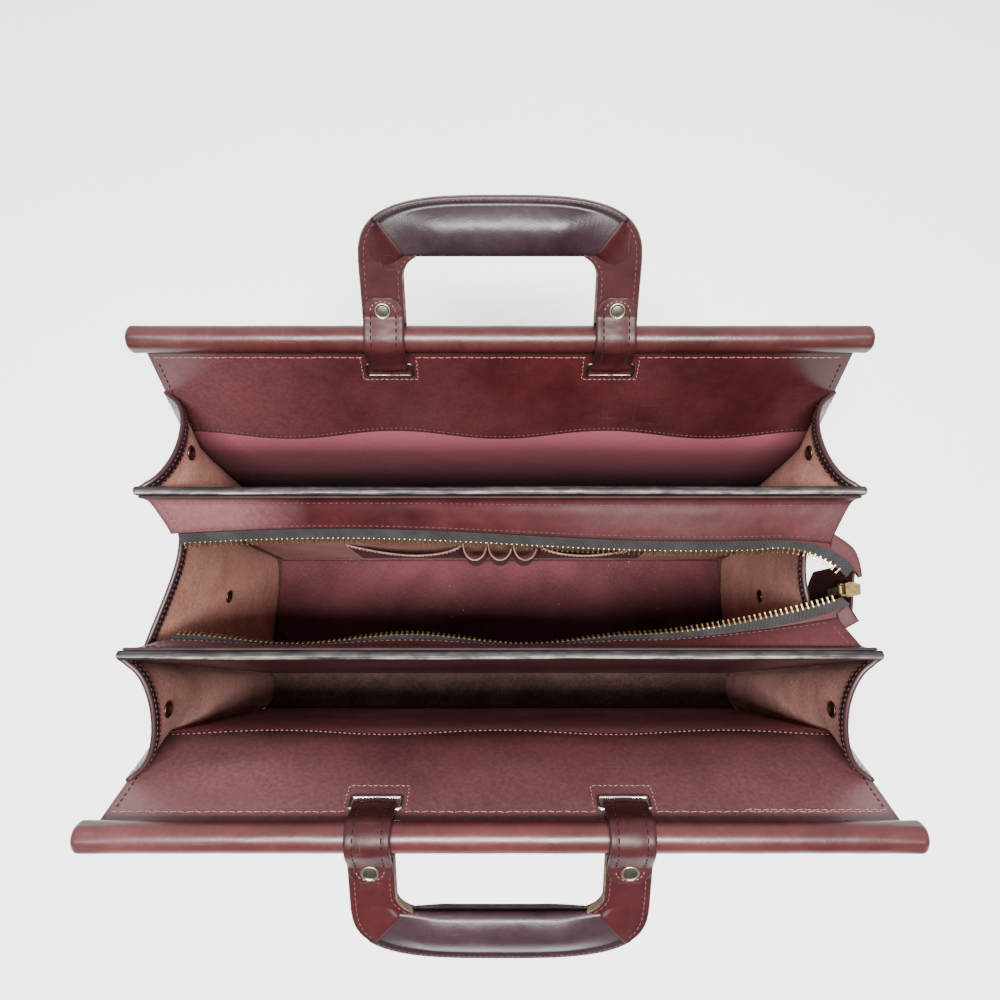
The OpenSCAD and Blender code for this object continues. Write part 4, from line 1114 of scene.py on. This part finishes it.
def zip_band(name, hem_at, tops, seed, painted_light_gain):
    """Leather strip from a divider's face down to a hem, curved and a little rumpled."""
    grid = []
    for x in span(-band_end, band_end, 130):
        line = [np.array((x, y, z)) for y, z in tops]
        top, hem = line[-1], hem_at(x)
        line += [top + (hem - top) * 0.35 + np.array((0, 0, 0.7)), top + (hem - top) * 0.7 + np.array((0, 0, 0.6)), hem]
        line = smooth_line(line, 22)
        for p, share in zip(line, span(0, 1, 22)):
            p[0] *= 1 + 0.07 * (1 - share) ** 1.3
            rumple = 0.6 * ripple(x, 30 * share, 26, seed) + 0.25 * ripple(x, 30 * share, 9, seed)
            p[2] += math.sin(math.pi * share) * rumple * min(1.0, (band_end - abs(x)) / 12)
        grid.append(line)
    if name == "back":
        grid = grid[::-1]

    # Painted sheen: the strip is paler towards its left end, and the back strip gets more of it than the front one
    def bloom_and_painted_sheen(x, y, z):
        return painted_light_gain * clamp((-110 - x) / 60)

    band = sheet(name + "_zip_strip", grid, band_t, "case", strip_leather, rim=dark_edge, swell=0.7,
                 haze=bloom_and_painted_sheen)
    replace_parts(band, name + "_zip_band")
    g = np.asarray(grid)
    n = grid_normals(g)
    if n[:, :, 2].mean() < 0:
        n = -n

    def sew(spots, r):
        stitches.row(("case", "hem"), [g[i, k] + n[i, k] * 0.85 for i, k in spots], [n[i, k] for i, k in spots],
                     pitch=3.3, length=2.2, r=r, lift=0.2)

    for k in (-3, 6):
        sew([(i, k) for i in range(2, len(grid) - 2)], 0.25)
    for i in (2, len(grid) - 3):
        sew([(i, k) for k in range(5, 20)], 0.28)


back_face = back_divider_y - divider_t / 2 - band_t / 2
zip_band("back", back_hem_at, [(back_face - out, divider_top - z) for z, out in ((2, 0), (5, 0), (7.8, 1.4))], 81, 1.7)
front_grow = front_half_t + band_t / 2
zip_band("front", front_hem_at, [(front_mid(divider_top - z) + front_grow + out, divider_top - z)
                                 for z, out in ((2, 0), (5, 0), (9, 0.8))], 85, 0.5)


def strip_between(name, one, two, t, skin, bulge=0.0):
    """A strip of leather stretched between two lines."""
    grid = [[p + (q - p) * share + np.array((bulge * math.sin(math.pi * share), 0, 0)) for share in span(0, 1, 8)]
            for p, q in zip(smooth_line(one, 18), smooth_line(two, 18))]
    return sheet(name, grid, t, "case", skin, swell=0.7)


back_tab = strip_between(
    "zip_tail_back",
    tails((0.6, 30.1, -17), (7.5, 24.9, -16), (12.6, 20, -15), (14.6, 12.5, -14.2), (14.8, 3.6, -13.6)),
    tails((-0.8, 20.2, -17.5), (3.2, 15.8, -16.8), (7.2, 11.6, -15.8), (10, 7.2, -14.9), (12.4, 2.8, -14.3)),
    2.0, burgundy_dull)
strip_between("zip_tail_front", tails((1.4, -27, -17.4), (11.4, -21.5, -15.4)),
              tails((-1.2, -16.9, -17.3), (5.8, -11.2, -15.6)), 2.0, burgundy_dull)
strip_between(
    "zip_tail_flap",
    tails((12.2, 11.5, -15.8), (12, 4, -17.4), (11, -4, -18.6), (9.8, -11, -17.8), (8.5, -15.6, -16.7)),
    tails((2.5, 10.5, -50), (1.4, 3.5, -57), (0.8, -4, -59), (1, -10.5, -56), (2, -14.6, -50)),
    1.6, tail_leather, bulge=-1.0)
for name, at, line, at_strip, at_tape in (("back", back_hem_at, back_tape_line, 1.8, 0.0),
                                          ("front", front_hem_at, front_tape_line, -1.8, 1.8)):
    strip_between("zip_tail_web_" + name,
                  [at(band_end - far) + np.array((0, at_strip, -0.9)) for far in (48, 36, 24, 12, 4, 0)],
                  line[-6:] + np.array((0, at_tape, -0.9)), 1.2, burgundy_dull)
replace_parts(back_tab, "zip_tail")


# Organizer
pocket_face = back_divider_y - divider_t / 2 - cloth_t
pocket_z = 105.0
pocket_w = 92
pocket_h = 78
loops_w = 60.0
loops_h = 34.0
loops_out = 14.0


def slip_pocket(side):
    def spot(u, up):
        gape = 9 * up ** 1.6 * math.sin(math.pi * u ** 1.4) ** 0.6
        x = loops_w / 2 + 0.5 + (1 - u) * pocket_w
        crease = 0.25 * ripple(x, pocket_h * up, 18, 90 + side) * up
        return Vector((side * x, pocket_face - pocket_t / 2 - gape - max(0, crease), pocket_z - pocket_h * (1 - up)))

    grid = [[spot(u, up) for u in span(0, 1, 36)[::side]] for up in span(0, 1, 25)]
    piece = sheet("slip_pocket_" + ("left" if side < 0 else "right"), grid, pocket_t, "case", pocket_hide,
                  rear=burgundy_flesh, rim=pale_edge)
    g = np.asarray(grid, float)
    n = grid_normals(g)
    if n[:, :, 1].mean() > 0:
        n = -n
    stitches.row(("case", "pale"), list(g[-2] + n[-2] * 0.75), list(n[-2]), pitch=3.2, length=2.2, r=0.28, lift=0.2)
    return piece


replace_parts(slip_pocket(-1), "slip_pockets")
slip_pocket(1)


def pen_loops():
    r = loops_w / 6
    path = [(-loops_w / 2, -pocket_t / 2)]
    for k in (-1, 0, 1):
        path += [(2 * k * r + (r - 0.75) * math.cos(a), -0.75 - (loops_out - 1.5) * math.sin(a))
                 for a in span(math.pi, 0, 17)]
    path.append((loops_w / 2, -pocket_t / 2))
    grid = [[Vector((x, pocket_face + y, z)) for x, y in path] for z in span(pocket_z - loops_h, pocket_z, 14)]
    piece = sheet("pen_loop_strip", grid, pocket_t, "case", pocket_hide, rear=burgundy_flesh,
                  rim=pale_edge)
    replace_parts(piece, "pen_loops")
    for x in (-r, r, -loops_w / 2 + 1.2, loops_w / 2 - 1.2):
        path = [(x, pocket_face - 1.6, z) for z in span(pocket_z - loops_h + 2, pocket_z - 2, 12)]
        stitches.row(("case", "pale"), path, (0, -1, 0), pitch=3.2, length=2.2, r=0.28, lift=0.2)


pen_loops()


# Base
def slab(name, half_x, y0, y1, z0, z1, node, skin, rim=None, swell=0.6, steps=4):
    grid = [[Vector((x, y, (z0 + z1) / 2)) for x in span(-half_x, half_x, 80)] for y in span(y0, y1, 40)]
    piece = sheet(name, grid, z1 - z0, "case", skin, rim=rim, swell=swell, steps=steps)
    if piece.data.polygons[0].normal.z < 0:
        piece.data.flip_normals()
    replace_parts(piece, node)


slab("base_hide", half_w, -base_half, base_half, 0, leather_t, "base_leather", burgundy)
slab("base_nap", half_w, -base_half, base_half, leather_t, base_top, "base_suede", base_suede, rim=suede)
slab("bottom_board_cloth", half_w - 6.5, -front_divider_y + divider_t / 2 + 1.5, back_divider_y - divider_t / 2 - 1.5,
     base_top, base_top + 3, "loose_bottom_board", board_cloth, rim=board_cloth, swell=0.9, steps=6)
for side in SIDES:
    stitches.row(("case", "pale"), [(x, side * (base_half - 4), 0.25) for x in span(-half_w + 6, half_w - 6, 40)],
                 (0, 0, -1), pitch=3.6, length=2.6, r=0.3, lift=0.2)


# Handles, in their own space: x along the rod, y out along the handle, z the side that faces up
handle_half = strap_gap / 2 + leg_w / 2
opening_half = handle_half - leg_w
opening_top = handle_h - grip_h - flange
opening_r = 11.0
leg_foot = rod_r + 1.6
shoulder = handle_h * 0.5
arch_power = 0.62
pad_flat = 2.75
rivet_y = 17.5


def handle_axes(wall):
    """A handle's origin on its rod, its way out and the way its upper face looks."""
    out = Vector((0, *wall.handle))
    return Vector((0, *wall.rod())), out, Vector((1, 0, 0)).cross(out) * wall.side


def handle_space(wall):
    rod, out, up = handle_axes(wall)
    return Matrix.Translation(rod) @ Matrix(((1, 0, 0), out, up)).transposed().to_4x4()


def sew_handle(wall, colour, face, path, **how):
    """Stitches along points of a handle's space, on its upper (1) or lower (-1) face."""
    m = handle_space(wall)
    stitches.row((wall.name + "_handle", colour), [m @ Vector(p) for p in path], m.to_3x3() @ Vector((0, 0, face)),
                 **how)


def arch_point(a, inset=0.0):
    c, s = math.cos(a), max(0.0, math.sin(a))
    x = (handle_half - inset) * math.copysign(abs(c) ** arch_power, c)
    return x, shoulder + (handle_h - inset - shoulder) * s ** arch_power


def arch_y(x, inset):
    a = math.acos(min(1.0, (abs(x) / (handle_half - inset)) ** (1 / arch_power)))
    return shoulder + (handle_h - inset - shoulder) * math.sin(a) ** arch_power


def opening_point(t):
    """Point on the inner edge of the handle, t from one leg's foot (0) to the other's (1)."""
    if t > 0.5:
        x, y = opening_point(1 - t)
        return -x, y
    straight = opening_top - opening_r - leg_foot
    quarter = math.pi / 2 * opening_r
    d = t * 2 * (straight + quarter + opening_half - opening_r)
    if d < straight:
        return opening_half, leg_foot + d
    if d < straight + quarter:
        a = (d - straight) / opening_r
        return opening_half - opening_r + opening_r * math.cos(a), opening_top - opening_r + opening_r * math.sin(a)
    return opening_half - opening_r - (d - straight - quarter), opening_top


def outer_point(t):
    """Point on the outer edge of the handle, matched to the inner one."""
    leg = 0.21
    if t < leg:
        return handle_half, leg_foot + (shoulder - leg_foot) * t / leg
    if t > 1 - leg:
        return -handle_half, leg_foot + (shoulder - leg_foot) * (1 - t) / leg
    return arch_point(math.pi * (t - leg) / (1 - 2 * leg))


def between(inner, outer, u):
    return [a + (b - a) * u for a, b in zip(inner, outer)]


def handle_body(wall):
    """The handle's layered leather, as a band swept from leg to leg."""
    m = handle_space(wall)
    grid = []
    for t in span(0, 1, 121):
        x, y = opening_point(t)
        inner = (x, y + 3.4 * ease(clamp((opening_half - 6 - abs(x)) / 8)))
        grid.append([m @ Vector((*between(inner, outer_point(t), u), 0)) for u in span(0, 1, 13)])
    body = sheet(wall.name + "_handle_hide", grid, handle_t, wall.name + "_handle", leg_leather,
                 rim=layered_edge, swell=0.35, steps=6, edge_reach=1.6)
    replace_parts(body, wall.name + "_handle_body")
    for face in (1, -1):
        for inset in (3.2, leg_w - 3.6):
            for lo, hi in ((0.04, 0.33), (0.67, 0.96)):
                path = []
                for t in span(lo, hi, 40):
                    inner, outer = opening_point(t), outer_point(t)
                    size = math.dist(inner, outer)
                    u = inset / size if inset < leg_w / 2 else 1 - (leg_w - inset) / size
                    path.append((*between(inner, outer, u), face * (handle_t / 2 + 0.1)))
                sew_handle(wall, "hem", face, path, pitch=3.4, length=2.3, r=0.32, lift=0.25)


def pad_end(u):
    """Share of the grip's crown that is left at u, from -1 to 1 along it."""
    return 1 - 0.82 * ease(max(0.0, (abs(u) - 0.5) / 0.5))


def crown_share(v):
    """Share of the crown's height at v, from the grip's inner edge (0) to its outer one (1)."""
    return math.sin(math.pi * v) ** (0.62 if v < 0.5 else 0.9)


def crown_height(v, end):
    return pad_flat * min(1.0, v / 0.08) ** 0.5 + (grip_t / 2 - pad_flat) * crown_share(v) * end


def grip(wall):
    """Padded grip: two crowned faces of one skin, mitred at the ends and sewn down along the handle's arch."""
    m = handle_space(wall)
    low = opening_top - 0.3
    reach_low, reach_high = opening_half - 0.4, 66.0
    cols = 100
    crown = span(0, 1, 25)
    border = ((3.6, 3.0), (2.6, 3.15), (1.4, 3.15), (0.7, 3.0), (0.5, 2.3))
    rows = len(crown) + len(border) - 1

    def on_crown(u, v, face):
        x = u * reach_low + (u * reach_high - u * reach_low) * v
        y = low + (arch_y(u * reach_high, flange) - low) * v
        wrinkle = 0.22 * ripple(x, y, 12, 95 + face + wall.side) + 0.10 * ripple(x, y, 4, 99)
        h = crown_height(v, pad_end(u)) + wrinkle * crown_share(v) * pad_end(u)
        return m @ Vector((x, y, face * h))

    def on_border(u, inset, h, face):
        x = u * (reach_high + (flange - inset) * 0.9)
        return m @ Vector((x, arch_y(x, inset), face * h))

    points, faces, uvs, edges = [], [], [], []
    for face in (1, -1):
        base = len(points)
        us = span(-1, 1, cols + 1)
        points += [on_crown(u, v, face) for v in crown for u in us]
        points += [on_border(u, inset, h, face) for inset, h in border for u in us]
        for i in range(rows + 1):
            groove = math.exp(-((i - len(crown) + 0.5) / 1.1) ** 2)
            for k in range(cols + 1):
                uvs.append((k * 1.3, i * 1.1))
                ends = math.exp(-(min(k, cols - k) * 1.3 / 2.5) ** 2)
                edges.append(min(1.0, 0.7 * ends + 0.75 * groove))
        for i in range(rows):
            for k in range(cols):
                a = base + i * (cols + 1) + k
                faces.append((a, a + 1, a + cols + 2, a + cols + 1)[::face])
    count = (rows + 1) * (cols + 1)
    loop = ([k for k in range(cols)] + [i * (cols + 1) + cols for i in range(rows)]
            + [rows * (cols + 1) + k for k in range(cols, 0, -1)] + [i * (cols + 1) for i in range(rows, 0, -1)])
    faces += [(b, a, a + count, b + count) for a, b in zip(loop, loop[1:] + loop[:1])]
    pad = make(wall.name + "_grip", points, faces, wall.name + "_handle", [plum], uvs, None,
               {"edge": edges})
    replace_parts(pad, wall.name + "_grip_pad", wall.name + "_grip_core")
    for face in (1, -1):
        path = [(*arch_point(a, 2.3), face * 3.2) for a in span(0.62, math.pi - 0.62, 90)]
        sew_handle(wall, "hem", face, path, pitch=2.9, length=2.0)
        for side in SIDES:
            mitre_welt(wall, face, side)


def mitre_welt(wall, face, side):
    """End of a leg's leather, swelling up over the end of the grip and turned in along the mitre."""
    m = handle_space(wall)
    foot, head = (opening_half - 0.6, opening_top - 0.2), (66.4, 64.6)
    run = (head[0] - foot[0], head[1] - foot[1])
    size = math.hypot(*run)
    out = (run[1] / size, -run[0] / size)
    seat = 1.7
    grid = []
    for v in span(0, 1, 20):
        peak = crown_height(v, pad_end(1)) + 0.5
        room = 0.25 + 0.75 * math.sin(math.pi * min(1.0, 0.15 + 0.8 * v))
        row = []
        for along, share in ((-1.3, 0.90), (-0.7, 1.0), (0.3, 1.0), (2.2, 0.80), (5.0, 0.52), (9.0, 0.30),
                             (13.0, 0.18), (18.0, 0.0)):
            reach = along if along < 0 else along * room
            x, y = (foot[c] + run[c] * v + out[c] * reach for c in (0, 1))
            row.append(m @ Vector((side * x, y, face * (seat + (peak - seat) * share))))
        grid.append(row)
    if side == face:
        grid = flipped(grid)
    name = "%s_mitre_%s_%s" % (wall.name, "left" if side < 0 else "right", "up" if face > 0 else "down")
    sheet(name, grid, 0.9, wall.name + "_handle", leg_leather, rim=leg_leather, swell=0.6,
          edge_reach=0.7, edge_dark=0.7)


def strap_line(wall):
    """Middle line of a strap: from its upper tip round the rod and the slot's bridge, and back under the rod."""
    rod, d, up = handle_axes(wall)
    r = rod_r + 0.3 + strap_t / 2
    leg_half = handle_t / 2 + strap_t / 2
    bridge_half = (n_band + n_out + 1) / 2 + 0.3 + strap_t / 2
    bridge_mid = (n_out - n_band - 1) / 2
    foot_s = wall_len - (slot_drop - 3.3 + 0.3 + strap_t / 2)
    tip, bend, round_from = 25.0, 13.5, math.radians(62)

    def on_rod(start, sweep, count):
        return [rod + (d * math.cos(a) + up * math.sin(a)) * r for a in span(start, start + sweep, count)]

    def angle(v):
        return math.atan2(v.dot(up), v.dot(d))

    def foot(n):
        p = wall.point(0, foot_s, n)
        return p + (rod - p).normalized() * 1.5

    inward = wall.inward(wall_len)
    line = [rod + d * tip + up * leg_half, rod + d * bend + up * leg_half]
    line += on_rod(round_from, (angle(inward) - round_from) % (2 * math.pi), 15)
    line += [wall.point(0, wall_len - 13, bridge_mid - bridge_half), foot(bridge_mid - bridge_half),
             wall.point(0, foot_s - 0.6, bridge_mid), foot(bridge_mid + bridge_half),
             wall.point(0, wall_len - 13, bridge_mid + bridge_half)]
    back_sweep = (-round_from - angle(-inward)) % (2 * math.pi)
    if back_sweep > math.pi * 1.5:
        back_sweep -= 2 * math.pi
    line += on_rod(angle(-inward), back_sweep, 9)
    line += [rod + d * bend - up * leg_half, rod + d * tip - up * leg_half]
    return smooth_line(line)


def strap(wall, side):
    """A loop of leather through the slot, round the rod and over both faces of the handle's leg."""
    line = strap_line(wall)
    x0 = side * strap_gap / 2
    half_strap, tip_r, seam_x, middle = strap_w / 2, 9.0, 7.2, 9
    grid = []
    reach = lengths(line)
    for p, far in zip(line, reach):
        from_tip = min(far, reach[-1] - far)
        half = half_strap
        if from_tip < tip_r:
            half += math.sqrt(max(0.0, tip_r ** 2 - (tip_r - from_tip - 0.4) ** 2)) - tip_r
        grid.append([(x0 + half * u, p[1], p[2]) for u in span(-1, 1, 2 * middle + 1)])
    flat = np.asarray(wall.pick(grid, flipped(grid)))
    n = grid_normals(flat)
    on_top = len(flat) // 5
    if np.dot(n[on_top, middle], flat[on_top, middle] - np.array((x0, *wall.rod()))) < 0:
        n = -n

    def swell(x, i):
        off = abs(x - x0)
        if off < seam_x:
            rise = 0.75 * math.cos(math.pi / 2 * off / seam_x) ** 0.8
        else:
            rise = 0.5 * math.sin(math.pi * min(1.0, (off - seam_x) / (half_strap - seam_x)))
        ends = min(1.0, min(i, len(flat) - 1 - i) / 8)
        return max(0.0, ends * (rise + 0.12 * ripple(x, i * 1.4, 5, 33 + side)))

    grid = [[p + across * swell(p[0], i) for p, across in zip(flat[i], n[i])] for i in range(len(flat))]
    piece = sheet("%s_strap_%s" % (wall.name, "left" if side < 0 else "right"), grid, strap_t, wall.name + "_strap",
                  burgundy_strap, swell=0.6, edge_reach=2.2)
    for shift in (-seam_x, seam_x):
        places = range(10, len(flat) - 10)
        path = [flat[i, middle] + np.array((shift, 0, 0)) + n[i, middle] * (strap_t / 2) for i in places]
        stitches.row((wall.name + "_strap", "dark"), path, [n[i, middle] for i in places], pitch=4.0, length=3.0,
                     r=0.42, lift=0.26)
    return piece


# A rivet's cap: its domed centre, then its rolled rim
DOME = [(0, 1.25), (1.6, 1.2), (2.9, 1.0), (3.4, 0.85)]
RIM = [(3.55, 1.15), (3.9, 1.45), (4.4, 1.35), (4.75, 0.9), (4.8, 0.2), (4.7, 0)]


def rivets(wall):
    """Capped rivets: a rolled bright rim round a domed, darkened centre, on both faces, joined by a post."""
    m = handle_space(wall)
    seat = handle_t / 2 + strap_t
    points, faces, kinds, uvs = [], [], [], []

    def rings(side, rows, around):
        first = len(points)
        for r, z in rows:
            for t in ring_angles(around):
                rr = max(r, 0.02)
                points.append(m @ Vector((side * strap_gap / 2 + rr * math.cos(t), rivet_y + rr * math.sin(t), z)))
                uvs.append((r, t))
        return tube_faces(len(rows), around, first)

    for side in SIDES:
        for face in (1, -1):
            path = [(side * strap_gap / 2 + 7.2 * math.cos(a), 17.0 + 5.9 * math.sin(a), face * (seat + 0.05))
                    for a in span(0, math.pi, 24)]
            sew_handle(wall, "pale", face, path, pitch=2.6, length=1.8, r=0.26, lift=0.2)
            low = 1 if face > 0 else 0.8
            cap = rings(side, [(r, face * (seat + h * low)) for r, h in DOME + RIM], 36)
            faces += [quad[::-face] for quad in cap]
            kinds += [0] * 36 * len(DOME) + [1] * 36 * (len(RIM) - 1)
        faces += rings(side, [(1.9, -seat - 0.2), (1.9, seat + 0.2)], 12)
        kinds += [0] * 12
    piece = make(wall.name + "_rivet_caps", points, faces, wall.name + "_handle", [bronze, pale_brass], uvs,
                 kinds)
    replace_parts(piece, wall.name + "_handle_rivets")


for wall in (back, front):
    handle_body(wall)
    grip(wall)
    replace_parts(strap(wall, -1), wall.name + "_handle_straps")
    strap(wall, 1)
    rivets(wall)

stitches.build()


# Materials of the model's own pieces
KEPT = {"slider": old_brass, "pull": old_brass, "board": card, "rod": steel}
for name, obj in nodes.items():
    for key, mat in KEPT.items():
        if key in name.split("_")[-1] or name.endswith(key):
            obj.data.materials.clear()
            obj.data.materials.append(mat)


# Floor, light and camera
def floor(size):
    mesh = bpy.data.meshes.new("floor")
    mesh.from_pydata([(-size, -size, 0), (size, -size, 0), (size, size, 0), (-size, size, 0)], [], [(0, 1, 2, 3)])
    obj = bpy.data.objects.new("floor", mesh)
    scene.collection.objects.link(obj)
    t = Nodes("floor")
    color = t.mix(t.ramp(t.noise(1.2, 3), (0.3, 0.0), (0.7, 1.0)), (0.84, 0.84, 0.83), (0.88, 0.885, 0.89))
    mesh.materials.append(t.finish(color, 0.8, t.bump(t.noise(220, 3), 0.05, 0.3)))


def area_light(name, place, target, size, power, colour):
    data = bpy.data.lights.new(name, "AREA")
    data.shape = "RECTANGLE"
    data.size, data.size_y = size
    data.energy = power
    data.color = colour
    obj = bpy.data.objects.new(name, data)
    obj.location = place
    obj.rotation_euler = (Vector(target) - Vector(place)).to_track_quat("-Z", "Y").to_euler()
    scene.collection.objects.link(obj)


def room(dim, bright):
    """Daylight that comes mostly from a pale wall behind the case."""
    world = bpy.data.worlds.new("world")
    scene.world = world
    world.use_nodes = True
    tree = world.node_tree
    coord = tree.nodes.new("ShaderNodeTexCoord")
    axes = tree.nodes.new("ShaderNodeSeparateXYZ")
    ramp = tree.nodes.new("ShaderNodeValToRGB")
    half = tree.nodes.new("ShaderNodeMapRange")
    half.inputs["From Min"].default_value = -1.0
    tree.links.new(coord.outputs["Generated"], axes.inputs["Vector"])
    tree.links.new(axes.outputs["Y"], half.inputs["Value"])
    tree.links.new(half.outputs["Result"], ramp.inputs["Fac"])
    for element, place, level in zip(ramp.color_ramp.elements, (0.25, 0.95), (dim, bright)):
        element.position = place
        element.color = (0.96 * level, 0.975 * level, level, 1)
    tree.links.new(ramp.outputs["Color"], tree.nodes["Background"].inputs["Color"])
    tree.nodes["Background"].inputs["Strength"].default_value = 2.0


floor(2.4)
area_light("ceiling", (-0.02, -0.36, 2.0), (0, 0, 0.2), (1.2, 0.30), 184, (1.0, 0.985, 0.96))
room(0.10, 1.0)

camera = bpy.data.cameras.new("camera")
camera.sensor_width = 36
camera.lens = 27
view = bpy.data.objects.new("camera", camera)
view.location = (0, -0.043, 0.695)
view.rotation_euler = (math.radians(12.04), 0, 0)
scene.collection.objects.link(view)
scene.camera = view

bpy.context.view_layer.update()
